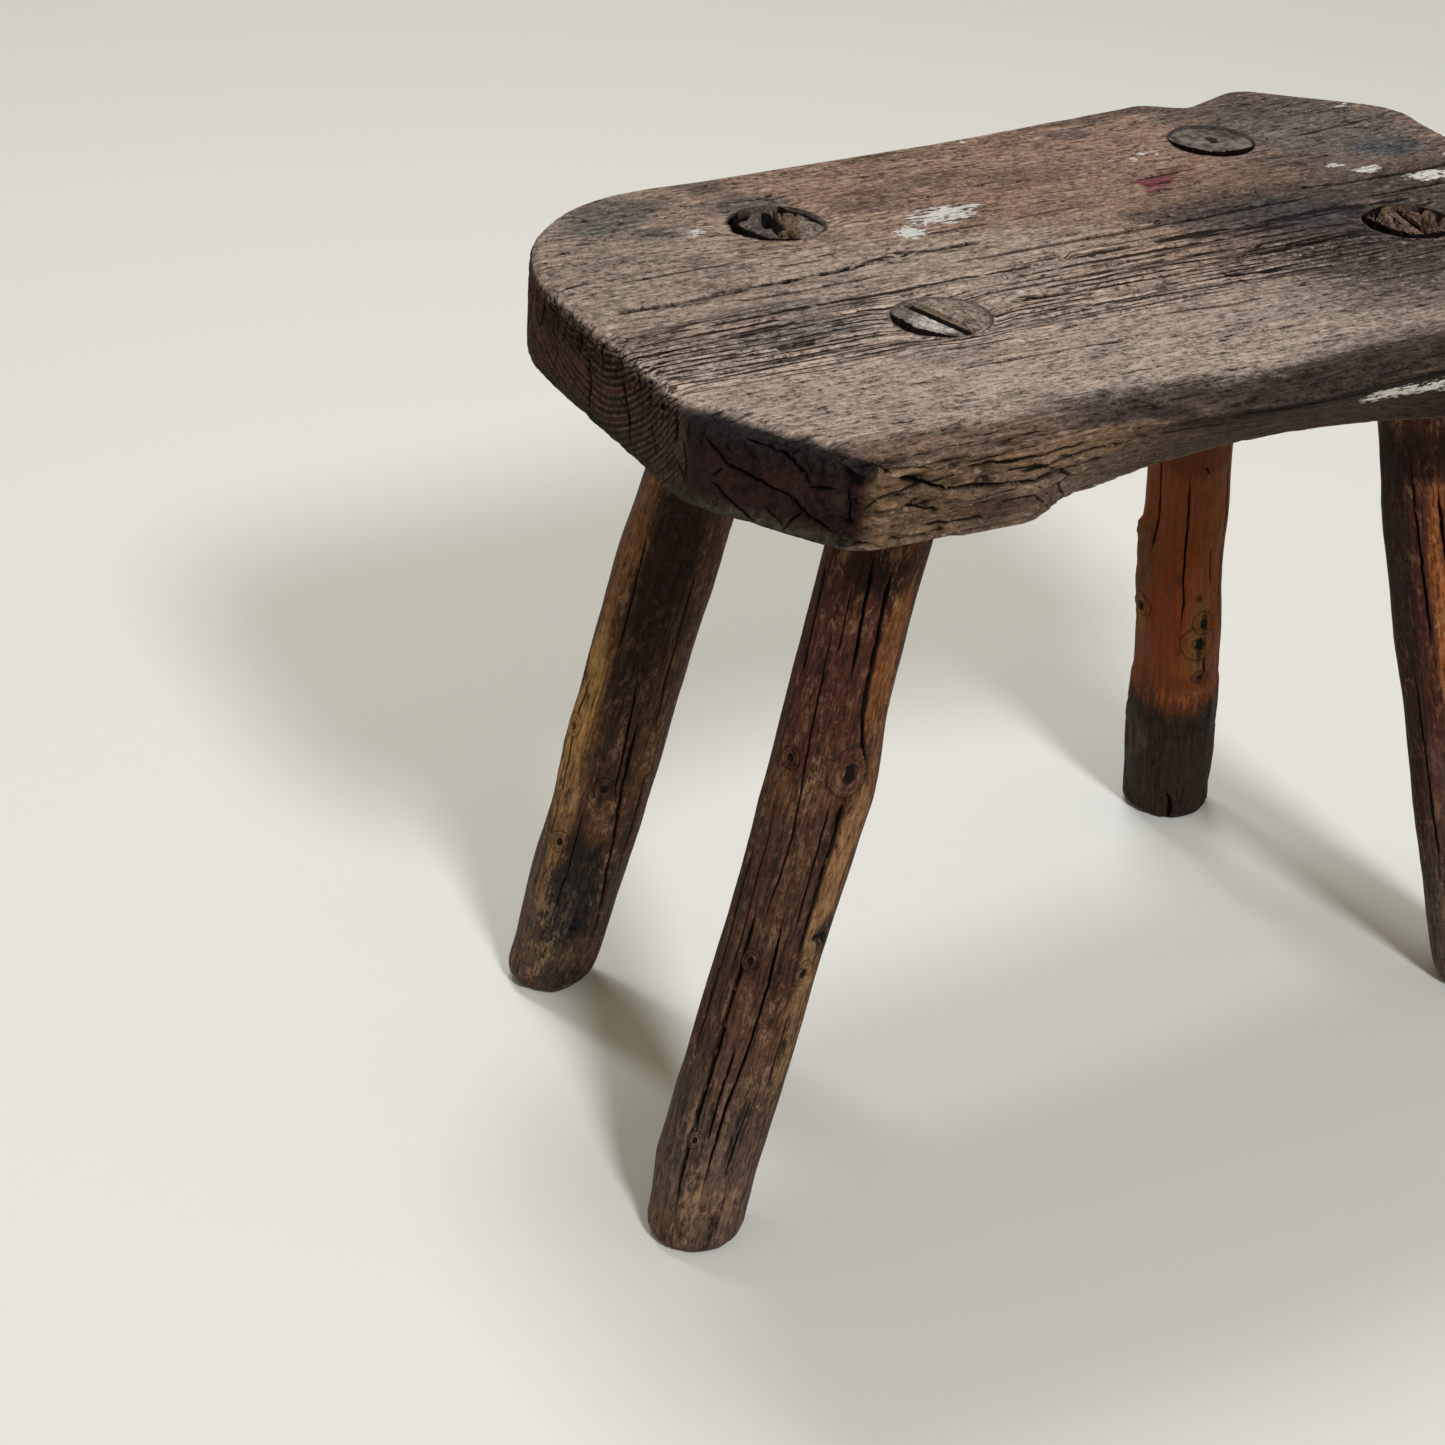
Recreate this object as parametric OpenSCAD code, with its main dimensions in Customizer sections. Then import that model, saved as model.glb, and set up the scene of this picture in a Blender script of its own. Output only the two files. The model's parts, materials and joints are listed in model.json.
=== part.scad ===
// Milking stool: one thick plank seat on four splayed round legs.
// The upper end of each leg is a round tenon that fills a slanted through bore in the plank.
// Three of the tenons are spread by a wedge, driven from above into a kerf across the grain.
// Millimetres, +Z up. X runs along the plank's grain and Y towards its back edge.
// The floor is z = 0, and the origin lies on it under the middle of the stool.

/* [Seat] */
// Length of the plank, along the grain
seat_length = 375; // [345:1:420]
// Width of the plank, across the grain
seat_width = 232; // [215:1:260]
// Thickness of the plank
seat_thickness = 32; // [28:1:40]
// Height of the plank's top above the floor
seat_height = 315; // [240:5:400]
// How far the hollow in the front edge reaches in at the plank's underside
wane_depth = 29; // [10:1:34]
// Length of that hollow at the underside
wane_length = 234; // [150:2:250]

/* [Legs] */
// Diameter of the tenons, and of the bores that they fill
tenon_d = 32; // [26:1:34]
// Diameter of a leg at its foot
foot_d = 34; // [34:1:40]
// Distance between the left and the right tenons
tenon_spacing_x = 193; // [175:1:210]
// Distance between the front and the back tenons
tenon_spacing_y = 90; // [76:1:104]
// How far a foot stands out from its tenon along the plank
splay_x = 67; // [40:1:90]
// How far a foot stands out from its tenon across the plank
splay_y = 35; // [10:1:55]
// How far the ends of the tenons lie below the plank's top
tenon_recess = 1; // [0:0.5:3]
// Radius of the worn rim round each foot
foot_round = 5; // [2:0.5:8]

/* [Wedges] */
// Thickness of a wedge at its upper end
wedge_top = 5; // [3:0.5:8]
// Thickness of a wedge at its tip
wedge_tip = 1.5; // [0.5:0.5:2.5]
// Length of a wedge along its leg
wedge_length = 26; // [14:1:28]

/* [Hidden] */
$fn = 96;

// Places of the legs in the lists below
FRONT_LEFT = 0;
BACK_LEFT = 1;
BACK_RIGHT = 2;
FRONT_RIGHT = 3;
LEGS = [FRONT_LEFT, BACK_LEFT, BACK_RIGHT, FRONT_RIGHT];

// Side of the stool that each leg is on: left or front is -1, right or back is 1
leg_side = [[-1, -1], [-1, 1], [1, 1], [1, -1]];
// Middle of the four tenons, and middle of the plank, from the stool's middle
tenon_middle = [4, 17];
seat_middle = [-8, -9];
// Middle of the front hollow along the plank
wane_middle_x = -5;
// The bores were bored by eye, so each tenon is a little off the regular pattern
tenon_shift = [[5, -7], [-5, -8], [-9, 8], [9, 7]];
// and each leg leans a little more or less than the others
splay_shift = [[-20, 6], [8, 5], [-15, 2], [3, 2]];
// Turn of each wedge from straight across the grain, anticlockwise from above.
// The back right tenon has no wedge.
wedge_turn = [14, -15, 0, -12];

// Corners of the plank's outline, anticlockwise from the left end: the place as a share of half
// the length and half the width from the plank's middle, then the corner's radius
outline_corners = [
    [-1, -0.52, 30],
    [-0.835, -0.94, 18],
    [-0.28, -0.965, 60],
    [-0.04, -1, 150],
    [0.86, -0.9, 40],
    [1, -0.66, 30],
    [1, 0.72, 20],
    [0.75, 1.055, 16],
    [0.59, 0.95, 6],
    [0.51, 1.03, 14],
    [0.05, 0.95, 300],
    [-0.51, 0.91, 60],
    [-0.76, 0.91, 66],
    [-1, 0.555, 66]
];
// Largest turn between two neighbouring points of a rounded corner
arc_step = 6;
// Clearance that cutting shapes run past the faces they cut
overrun = 5;

// Where the axis of each leg meets the plank's top and the floor
function leg_top(leg) = [
    for (k = [0, 1])
        tenon_middle[k] + leg_side[leg][k] * [tenon_spacing_x, tenon_spacing_y][k] / 2
            + tenon_shift[leg][k]
];
function leg_foot(leg) = [
    for (k = [0, 1])
        leg_top(leg)[k] + leg_side[leg][k] * [splay_x, splay_y][k] + splay_shift[leg][k]
];
// How the axis of each leg leans: its run over the floor, its heading, its tilt and its length
function leg_run(leg) = leg_top(leg) - leg_foot(leg);
function leg_heading(leg) = atan2(leg_run(leg).y, leg_run(leg).x);
function leg_tilt(leg) = atan(norm(leg_run(leg)) / seat_height);
function leg_axis_length(leg) = norm([leg_run(leg).x, leg_run(leg).y, seat_height]);

function unit(v) = v / norm(v);
// The angle b, brought within half a turn of the angle a
function near_angle(a, b) = b - 360 * round((b - a) / 360);
// Points of the arc that rounds the corner here, between the corners before and after it
function corner_arc(before, here, after, radius) =
    let (
        u = unit(before - here),
        v = unit(after - here),
        half_angle = acos(u * v) / 2,
        setback = radius / tan(half_angle),
        centre = here + unit(u + v) * radius / sin(half_angle),
        first = here + u * setback - centre,
        last = here + v * setback - centre,
        start = atan2(first.y, first.x),
        end = near_angle(start, atan2(last.y, last.x)),
        steps = max(1, ceil(abs(end - start) / arc_step))
    )
    [for (i = [0:steps]) centre + radius * [cos(start + (end - start) * i / steps),
                                            sin(start + (end - start) * i / steps)]];

function corner_place(corner) = [
    seat_middle.x + corner[0] * seat_length / 2,
    seat_middle.y + corner[1] * seat_width / 2
];
function outline_points() =
    let (count = len(outline_corners))
    [
        for (i = [0:count - 1])
            each corner_arc(
                corner_place(outline_corners[(i + count - 1) % count]),
                corner_place(outline_corners[i]),
                corner_place(outline_corners[(i + 1) % count]),
                outline_corners[i][2]
            )
    ];

// Puts its children, drawn up the Z axis from the foot, along the axis of a leg, with no twist
module along_leg(leg) {
    translate(leg_foot(leg))
        rotate([0, leg_tilt(leg), leg_heading(leg)])
            rotate([0, 0, -leg_heading(leg)])
                children();
}

// The space between the floor and a level a little below the plank's top
module above_floor() {
    reach = 2 * seat_length;
    translate([-reach / 2, -reach / 2, 0])
        cube([reach, reach, seat_height - tenon_recess]);
}

// A tenon's round shape, as long as the whole leg
module tenon_bar(leg) {
    along_leg(leg)
        cylinder(d = tenon_d, h = leg_axis_length(leg) + tenon_d);
}

// The wedge's shape before its ends are rounded to the tenon
module wedge_blank(leg) {
    top = leg_axis_length(leg) + overrun;
    tip = leg_axis_length(leg) - wedge_length;
    // The same taper goes on above the plank, where the wedge is cut off flush
    spread = wedge_tip + (wedge_top - wedge_tip) * (wedge_length + overrun) / wedge_length;
    along_leg(leg)
        rotate([90, 0, wedge_turn[leg]])
            linear_extrude(height = 2 * tenon_d, center = true)
                polygon([
                    [-wedge_tip / 2, tip], [wedge_tip / 2, tip],
                    [spread / 2, top], [-spread / 2, top]
                ]);
}

// The hollow that the tree's own edge left in the front of the plank: part of a cone that
// reaches in wane_depth at the underside and ends at the top
module front_wane() {
    front = seat_middle.y - seat_width / 2;
    reach = wane_depth + overrun;
    low_radius = (pow(wane_length / 2, 2) + pow(reach, 2)) / (2 * reach);
    slope = wane_depth / seat_thickness;
    translate([wane_middle_x, front + wane_depth - low_radius, seat_height - seat_thickness])
        translate([0, 0, -overrun])
            cylinder(
                r1 = low_radius + overrun * slope,
                r2 = low_radius - (seat_thickness + overrun) * slope,
                h = seat_thickness + 2 * overrun
            );
}

module seat_plank() {
    color([0.36, 0.3, 0.26])
        difference() {
            translate([0, 0, seat_height - seat_thickness])
                linear_extrude(height = seat_thickness)
                    polygon(outline_points());
            front_wane();
            for (leg = LEGS)
                tenon_bar(leg);
        }
}

module leg(leg, wedged) {
    length = leg_axis_length(leg);
    tenon_length = seat_thickness / cos(leg_tilt(leg)) + tenon_d * tan(leg_tilt(leg));
    // The sawn end is square to the leg, and the floor has worn it flat a little further up
    sawn_end = -1.5;
    rim = [
        for (a = [-90:15:0])
            [foot_d / 2 - foot_round + foot_round * cos(a), sawn_end + foot_round * (1 + sin(a))]
    ];
    color([0.33, 0.19, 0.12])
        difference() {
            intersection() {
                above_floor();
                along_leg(leg)
                    rotate_extrude()
                        polygon(concat(
                            [[0, sawn_end]],
                            rim,
                            [[tenon_d / 2, length - tenon_length], [tenon_d / 2, length + tenon_d],
                             [0, length + tenon_d]]
                        ));
            }
            if (wedged)
                wedge_blank(leg);
        }
}

module wedge(leg) {
    color([0.42, 0.28, 0.18])
        intersection() {
            above_floor();
            tenon_bar(leg);
            wedge_blank(leg);
        }
}

module leg_front_left() { leg(FRONT_LEFT, wedged = true); }
module leg_back_left() { leg(BACK_LEFT, wedged = true); }
module leg_back_right() { leg(BACK_RIGHT, wedged = false); }
module leg_front_right() { leg(FRONT_RIGHT, wedged = true); }
module wedge_front_left() { wedge(FRONT_LEFT); }
module wedge_back_left() { wedge(BACK_LEFT); }
module wedge_front_right() { wedge(FRONT_RIGHT); }

seat_plank();
leg_front_left();
leg_back_left();
leg_back_right();
leg_front_right();
wedge_front_left();
wedge_back_left();
wedge_front_right();
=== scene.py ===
import bpy
import json
import math
import numpy as np
from mathutils import Matrix, Vector
from mathutils.geometry import delaunay_2d_cdt


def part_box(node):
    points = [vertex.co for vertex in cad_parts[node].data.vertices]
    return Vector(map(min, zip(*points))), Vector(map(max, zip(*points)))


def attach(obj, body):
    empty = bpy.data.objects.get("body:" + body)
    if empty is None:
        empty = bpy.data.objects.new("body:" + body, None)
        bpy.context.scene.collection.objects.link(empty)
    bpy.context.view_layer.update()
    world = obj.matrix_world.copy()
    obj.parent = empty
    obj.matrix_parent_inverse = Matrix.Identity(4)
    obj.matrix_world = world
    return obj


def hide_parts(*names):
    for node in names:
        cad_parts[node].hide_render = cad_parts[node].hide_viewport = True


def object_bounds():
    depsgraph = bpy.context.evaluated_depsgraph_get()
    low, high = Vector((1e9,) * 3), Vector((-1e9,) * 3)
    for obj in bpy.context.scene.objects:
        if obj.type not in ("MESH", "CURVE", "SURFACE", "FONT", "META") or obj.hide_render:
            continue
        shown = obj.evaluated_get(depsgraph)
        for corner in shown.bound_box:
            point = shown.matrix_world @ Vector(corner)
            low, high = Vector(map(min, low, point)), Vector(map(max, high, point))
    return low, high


# Lengths in this script are millimetres, in the row frame, until a mesh is made from them.
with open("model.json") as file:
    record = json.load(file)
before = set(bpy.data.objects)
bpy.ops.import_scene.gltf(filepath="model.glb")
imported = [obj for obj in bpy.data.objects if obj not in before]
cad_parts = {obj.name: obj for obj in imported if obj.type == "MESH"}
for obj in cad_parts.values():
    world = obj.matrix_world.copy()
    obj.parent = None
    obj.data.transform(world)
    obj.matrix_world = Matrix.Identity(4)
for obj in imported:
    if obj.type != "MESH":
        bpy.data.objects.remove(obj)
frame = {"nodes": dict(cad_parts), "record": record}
cad_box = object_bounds()
scene = bpy.context.scene
scene.view_settings.view_transform = "Standard"
MM = 0.001


# ---------------------------------------------------------------- numbers and noise
def smooth(low, high, x):
    """0 below low, 1 above high, smooth between. Low may be the higher of the two."""
    t = np.clip((x - low) / (high - low), 0, 1)
    return t * t * (3 - 2 * t)


def lattice(ix, iy, iz, seed):
    """A steady pseudo-random number from -1 to 1 for each whole-numbered place."""
    h = (ix * 374761393 + iy * 668265263 + iz * 1440662683 + seed * 1274126177) & 0xFFFFFFFF
    h = ((h ^ (h >> 13)) * 1274126177) & 0xFFFFFFFF
    h = ((h ^ (h >> 15)) * 2246822519) & 0xFFFFFFFF
    h ^= h >> 16
    return (h & 0xFFFFFF) / float(0x7FFFFF) - 1


def value_noise(x, y, z, seed):
    """Smooth noise between the lattice's numbers."""
    ix, iy, iz = (np.floor(c).astype(np.int64) for c in (x, y, z))
    fx, fy, fz = x - ix, y - iy, z - iz
    fx, fy, fz = (f * f * (3 - 2 * f) for f in (fx, fy, fz))
    total = 0
    for dx in (0, 1):
        for dy in (0, 1):
            for dz in (0, 1):
                weight = (fx if dx else 1 - fx) * (fy if dy else 1 - fy) * (fz if dz else 1 - fz)
                total = total + weight * lattice(ix + dx, iy + dy, iz + dz, seed)
    return total


def noise(x, y, z, seed, octaves=3, gain=0.5):
    """Layered value noise, about -1 to 1."""
    x, y, z = np.broadcast_arrays(x, y, z)
    total, size, top = 0, 1.0, 0.0
    for k in range(octaves):
        total = total + size * value_noise(x * 2 ** k, y * 2 ** k, z * 2 ** k, seed + 17 * k)
        top += size
        size *= gain
    return total / top


def pairs(a, b):
    """Two arrays of coordinates as one list of places."""
    return np.stack([a.ravel(), b.ravel()], 1)


def jitter(shape, seed):
    """A steady random number from -1 to 1 for each point of a grid."""
    return lattice(*np.indices(shape), np.zeros(shape, int), seed)


def turned(angle, centre):
    """How far an angle lies from a centre, from minus to plus half a turn."""
    return (angle - centre + np.pi) % (2 * np.pi) - np.pi


def linear(r, g, b):
    """Scene-linear colour from the usual 0 to 255 display numbers."""
    c = np.array([r, g, b], float) / 255
    return np.where(c <= 0.04045, c / 12.92, ((c + 0.055) / 1.055) ** 2.4)


class Tint:
    """The colour of each point of a piece, laid on coat by coat."""

    def __init__(self, base, count):
        self.rgb = np.tile(linear(*base), (count, 1))

    def coat(self, colour, weight):
        """Lays a colour on, thickest where the weight is 1."""
        self.rgb = self.rgb + (linear(*colour) - self.rgb) * np.clip(weight, 0, 1)[:, None]

    def scale(self, factor):
        """Makes each point's colour brighter or darker."""
        self.rgb = self.rgb * factor[:, None]


# ---------------------------------------------------------------- measures from the CAD
def flat_loops(node, level):
    """Closed border loops of the node's faces that lie at the level, anticlockwise outside."""
    mesh = frame["nodes"][node].data
    co = np.array([v.co for v in mesh.vertices]) / MM
    ahead = set()
    for face in mesh.polygons:
        ids = list(face.vertices)
        if np.all(np.abs(co[ids, 2] - level) < 0.01) and face.normal.z > 0:
            places = [tuple(np.round(co[i, :2], 3)) for i in ids]
            ahead.update(zip(places, places[1:] + places[:1]))
    follow = {a: b for a, b in ahead if (b, a) not in ahead}
    loops = []
    while follow:
        start, here = follow.popitem()
        loop = [start]
        while here != start:
            loop.append(here)
            here = follow.pop(here)
        loops.append(np.array(loop))
    return sorted(loops, key=lambda a: -np.ptp(a[:, 0]))


SEAT_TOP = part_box("seat_plank")[1].z / MM
SEAT_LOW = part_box("seat_plank")[0].z / MM
THICK = SEAT_TOP - SEAT_LOW
TENON_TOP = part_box("leg_front_left")[1].z / MM
MOUNTS = {m["name"]: np.array(m["pos_m"]) / MM for m in frame["record"]["mounts"]}
seat_loops = flat_loops("seat_plank", SEAT_TOP)
OUTLINE = seat_loops[0]
BORE_R = 16.0
LEG_NAMES = ("front_left", "back_left", "back_right", "front_right")


class Axis:
    """The straight axis of a leg, with two directions square to it."""

    def __init__(self, name):
        self.foot = MOUNTS["foot_" + name]
        sides = (-1 if "left" in name else 1, -1 if "front" in name else 1)
        middle = MOUNTS["seat_top"]
        for loop in seat_loops[1:]:
            c = (loop.min(0) + loop.max(0)) / 2
            if (c[0] - middle[0]) * sides[0] > 0 and (c[1] - middle[1]) * sides[1] > 0:
                self.top = np.array([*c, SEAT_TOP])
        run = self.top - self.foot
        self.length = np.linalg.norm(run)
        self.dir = run / self.length
        heading = math.atan2(run[1], run[0])
        tilt = math.acos(self.dir[2])
        m = (
            Matrix.Rotation(heading, 3, "Z")
            @ Matrix.Rotation(tilt, 3, "Y")
            @ Matrix.Rotation(-heading, 3, "Z")
        )
        self.u, self.v = np.array(m.col[0]), np.array(m.col[1])

    def outside_bore(self, rel):
        """How far places, given from the axis's top, lie outside the bore, and at what angle."""
        out = rel - (rel @ self.dir)[:, None] * self.dir
        return np.linalg.norm(out, axis=1) - BORE_R, np.arctan2(out @ self.v, out @ self.u)

    def local(self, points):
        """Places of points in the leg's own directions, from its foot."""
        rel = points - self.foot
        return np.stack([rel @ self.u, rel @ self.v, rel @ self.dir], 1)

    def out(self, angle):
        """Direction away from the axis at an angle in radians."""
        return np.cos(angle)[..., None] * self.u + np.sin(angle)[..., None] * self.v

    def at_level(self, angle, radius, z):
        """Point at that angle and distance from the axis, on the level z."""
        out = self.out(angle)
        along = (z - radius * out[..., 2]) / self.dir[2]
        return self.foot + along[..., None] * self.dir + radius[..., None] * out


AXES = {name: Axis(name) for name in LEG_NAMES}


# ---------------------------------------------------------------- sheets with cracks in them
class Crack:
    """A crack along a line of places, with its width, its depth and how jagged it runs."""

    def __init__(self, line, width, depth, jag=0.3, ends=(0.12, 0.12), seed=0):
        self.line = np.array(line, float)
        self.width, self.depth, self.jag, self.ends, self.seed = width, depth, jag, ends, seed

    def points(self, step, lower, upper):
        """Rows of points from the left lip to the right, with the middle's depth and its painted shade."""
        gaps = np.linalg.norm(np.diff(self.line, axis=0), axis=1)
        along = np.concatenate([[0], np.cumsum(gaps)])
        count = max(4, int(along[-1] / step))
        t = np.linspace(0, along[-1], count + 1)
        mid = np.stack([np.interp(t, along, self.line[:, k]) for k in (0, 1)], 1)
        way = np.gradient(mid, axis=0)
        way /= np.linalg.norm(way, axis=1)[:, None]
        side = np.stack([-way[:, 1], way[:, 0]], 1)
        wander = noise(t / 4.5, self.seed * 7.3, 0.5, 31 + self.seed, 3, 0.6) * self.jag * 1.8
        mid = mid + side * wander[:, None]
        share = t / along[-1]
        taper = np.minimum(smooth(-0.02, self.ends[0], share), smooth(1.02, 1 - self.ends[1], share))
        breadth = 0.85 + 0.38 * noise(t / 9, self.seed * 3.1, 9.5, 77 + self.seed, 2)
        half = 0.5 * self.width * np.clip(taper * breadth, 0.12, 1.4)
        shares = (1, 0.5, 0, -0.5, -1) if self.width > 1.8 else (1, 0, -1)
        rows = [mid + side * (share * half)[:, None] for share in shares]
        depth = self.depth * np.clip(taper, 0.1, 1) * (0.8 + 0.3 * breadth)
        rows = [np.clip(r, lower, upper) for r in rows]
        return shares, rows, depth, np.clip(taper * 1.3, 0.25, 1)


def near(points, marks, stretch, reach):
    """For each point, whether one of the marks is nearer than reach, in stretched lengths."""
    hit = np.zeros(len(points), bool)
    a = points / stretch
    b = marks / stretch
    order = np.argsort(b[:, 0])
    b = b[order]
    for start in range(0, len(a), 4000):
        part = a[start:start + 4000]
        low = np.searchsorted(b[:, 0], part[:, 0].min() - reach)
        high = np.searchsorted(b[:, 0], part[:, 0].max() + reach)
        if high > low:
            d = (part[:, None, 0] - b[None, low:high, 0]) ** 2
            d += (part[:, None, 1] - b[None, low:high, 1]) ** 2
            hit[start:start + 4000] = d.min(1) < reach * reach
    return hit


class Sheet:
    """Points of a flat sheet, triangulated with its borders and cracks kept as edges."""

    def __init__(self, stretch=(1.0, 1.0)):
        self.stretch = np.array(stretch, float)
        self.points = np.zeros((0, 2))
        self.edges = []
        self.depth = np.zeros(0)
        self.dark = np.zeros(0)

    def add(self, points, closed=None, depth=0.0, dark=0.0):
        """Adds points. Closed is False for a line, True for a loop and None for loose points."""
        first = len(self.points)
        points = np.asarray(points, float)
        ids = np.arange(first, first + len(points))
        self.points = np.concatenate([self.points, points])
        self.depth = np.concatenate([self.depth, np.broadcast_to(depth, len(points))])
        self.dark = np.concatenate([self.dark, np.broadcast_to(dark, len(points))])
        if closed is not None:
            self.edges += list(zip(ids[:-1].tolist(), ids[1:].tolist()))
            if closed:
                self.edges.append((int(ids[-1]), int(ids[0])))
        return ids

    def cracks(self, cracks, step, lower, upper):
        """Adds the rows of each crack, kept between the lower and the upper places."""
        for crack in cracks:
            shares, rows, depth, dark = crack.points(step, lower, upper)
            for share, row in zip(shares, rows):
                # A point that would fall on another one steps aside
                here = near(row, self.points, self.stretch, 0.05)
                row = row + np.where(here, 0.12, 0.0)[:, None]
                # Painted shade: each row of a crack is darkened, least on the lips and most in the middle
                sunk, shaded = {1: (0.12, 0.55), 0.5: (0.6, 0.95), 0: (1, 1)}[abs(share)]
                self.add(row, False, depth * sunk, dark * shaded)

    def knots(self, knots):
        """Rings round each knot, given as its middle and its half width along both axes."""
        # Each ring: its share of the knot's size, how far it is sunk and how dark it is; the sunk rings are
        # dark as the knot's own colour and as painted shade in them
        rings_out = ((1.15, 0.55, 0.6), (0.98, -0.1, 0.0), (0.8, 0.4, 0.5), (0.62, 0.0, 0.0),
                     (0.44, 0.45, 0.6), (0.2, 1.0, 0.9))
        for k, (cx, cy, wide, tall) in enumerate(knots):
            for share, depth, dark in rings_out:
                count = max(7, int(2 * math.pi * share * max(wide, tall) / 0.95))
                a = np.arange(count) * 2 * np.pi / count
                wobble = 1 + 0.10 * noise(np.cos(a) * 1.2, np.sin(a) * 1.2, k + share, 700 + k, 2)
                reach = share * wobble
                ring = pairs(cx + wide * reach * np.cos(a), cy + tall * reach * np.sin(a))
                self.add(ring, True, depth, dark)

    def fill(self, grid, reach):
        """Adds the grid's points that aren't nearer than reach to a point that is there."""
        self.add(grid[~near(grid, self.points, self.stretch, reach)])

    def triangles(self):
        """All points, their depth, darkness and first number, and the triangles."""
        scaled = [Vector(p) for p in (self.points / self.stretch).tolist()]
        verts, _, faces, orig, _, _ = delaunay_2d_cdt(scaled, self.edges, [], 0, 1e-6, True)
        points = np.array([tuple(v) for v in verts]) * self.stretch
        number = np.array([o[0] if o else -1 for o in orig])
        depth = np.where(number >= 0, self.depth[number], 0)
        dark = np.where(number >= 0, self.dark[number], 0.5)
        where = np.full(len(self.points), -1)
        for i, o in enumerate(orig):
            for j in o:
                where[j] = i
        return points, depth, dark, where, np.array(faces)


def inside(points, loop):
    """Whether each point lies inside the closed loop."""
    result = np.zeros(len(points), bool)
    a, b = loop, np.roll(loop, -1, axis=0)
    for start in range(0, len(points), 8000):
        x, y = points[start:start + 8000, 0][:, None], points[start:start + 8000, 1][:, None]
        spans = (a[:, 1] > y) != (b[:, 1] > y)
        rise = np.where(b[:, 1] == a[:, 1], 1, b[:, 1] - a[:, 1])
        cross = x < (b[:, 0] - a[:, 0]) * (y - a[:, 1]) / rise + a[:, 0]
        result[start:start + 8000] = np.sum(spans & cross, axis=1) % 2 == 1
    return result


class Shell:
    """A closed surface put together from sheets that share their border points."""

    def __init__(self):
        self.kind, self.uv, self.depth, self.dark, self.faces = [], [], [], [], []
        self.count = 0

    def take(self, kind, points, depth, dark, triangles, known):
        """Adds a sheet. Known gives the shell's number of a point that is there already."""
        ids = np.full(len(points), -1)
        for i, gid in known.items():
            ids[i] = gid
        new = ids < 0
        ids[new] = self.count + np.arange(new.sum())
        self.count += int(new.sum())
        self.kind.append(np.full(new.sum(), kind))
        self.uv.append(points[new])
        self.depth.append(depth[new])
        self.dark.append(dark[new])
        faces = ids[triangles]
        good = (faces[:, 0] != faces[:, 1]) & (faces[:, 1] != faces[:, 2]) & (faces[:, 0] != faces[:, 2])
        self.faces.append(faces[good])
        return ids

    def close(self):
        """Joins the sheets' lists into arrays once all of them are in."""
        self.kind = np.concatenate(self.kind)
        self.uv = np.concatenate(self.uv)
        self.depth = np.concatenate(self.depth)
        self.dark = np.concatenate(self.dark)
        self.faces = np.concatenate(self.faces)


def outward(points, faces, flip=False):
    """The triangles, all turned the same way as seen in the sheet."""
    a, b, c = (points[faces[:, k]] for k in range(3))
    turn = (b[:, 0] - a[:, 0]) * (c[:, 1] - a[:, 1]) - (b[:, 1] - a[:, 1]) * (c[:, 0] - a[:, 0])
    wrong = (turn < 0) != flip
    faces = faces.copy()
    faces[wrong] = faces[wrong][:, ::-1]
    return faces


class Wrap(Sheet):
    """A sheet round a closed side, whose last column of points is its first one again."""

    def __init__(self, stretch, columns, length, levels):
        super().__init__(stretch)
        self.first = self.add(np.stack([columns, np.full(len(columns), levels[0])], 1))
        self.last = self.add(np.stack([columns, np.full(len(columns), levels[-1])], 1))
        seam = self.add(np.stack([np.zeros(len(levels) - 2), levels[1:-1]], 1))
        self.copy = self.add(np.stack([np.full(len(levels), length), levels], 1))
        self.seam = [self.first[0], *seam, self.last[0]]
        ring = [int(i) for i in (*self.first, *self.copy, *self.last[::-1], *seam[::-1])]
        self.edges += zip(ring, ring[1:] + ring[:1])

    def join(self, shell, kind, flip=False):
        """Adds the sheet to the shell, and gives the shell's numbers of its two borders."""
        points, depth, dark, where, faces = self.triangles()
        ids = shell.take(kind, points, depth, dark, outward(points, faces, flip), {})
        table = np.arange(ids.max() + 1)
        table[ids[where[self.copy]]] = ids[where[self.seam]]
        shell.faces[-1] = table[shell.faces[-1]]
        return ids[where[self.first]], ids[where[self.last]]


def join_face(shell, kind, sheet, borders, grid, reach, flip=False):
    """Fills a face with holes and joins it to the shell. The borders are the outline and then
    the holes, each with its points, the sheet's numbers of them and the shell's."""
    loops = [loop for loop, _, _ in borders]

    def on_face(points):
        result = inside(points, loops[0])
        for loop in loops[1:]:
            result &= ~inside(points, loop)
        return result

    sheet.fill(grid[on_face(grid)], reach)
    points, depth, dark, where, faces = sheet.triangles()
    faces = faces[on_face(points[faces].mean(1))]
    known = {where[i]: number for _, ids, numbers in borders for i, number in zip(ids, numbers)}
    return shell.take(kind, points, depth, dark, outward(points, faces, flip), known), where


def join_rings(shell, kind, ring, columns, shares, dark):
    """Adds ring after ring of points, each joined to the one before it, and gives the last."""
    count = len(ring)
    for share in shares:
        places = np.stack([columns, np.full(count, share)], 1)
        new = shell.take(kind, places, np.zeros(count), np.full(count, dark), NO_FACES, {})
        shell.faces.append(np.concatenate([
            np.stack([np.roll(ring, -1), ring, new], 1),
            np.stack([np.roll(ring, -1), new, np.roll(new, -1)], 1),
        ]))
        ring = new
    return ring


NO_FACES = np.zeros((0, 3), int)


def vertex_normals(points, faces):
    """The direction that the surface faces at each point."""
    a, b, c = (points[faces[:, k]] for k in range(3))
    n = np.cross(b - a, c - a)
    total = np.zeros_like(points)
    for k in range(3):
        np.add.at(total, faces[:, k], n)
    return total / np.maximum(np.linalg.norm(total, axis=1), 1e-12)[:, None]


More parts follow.
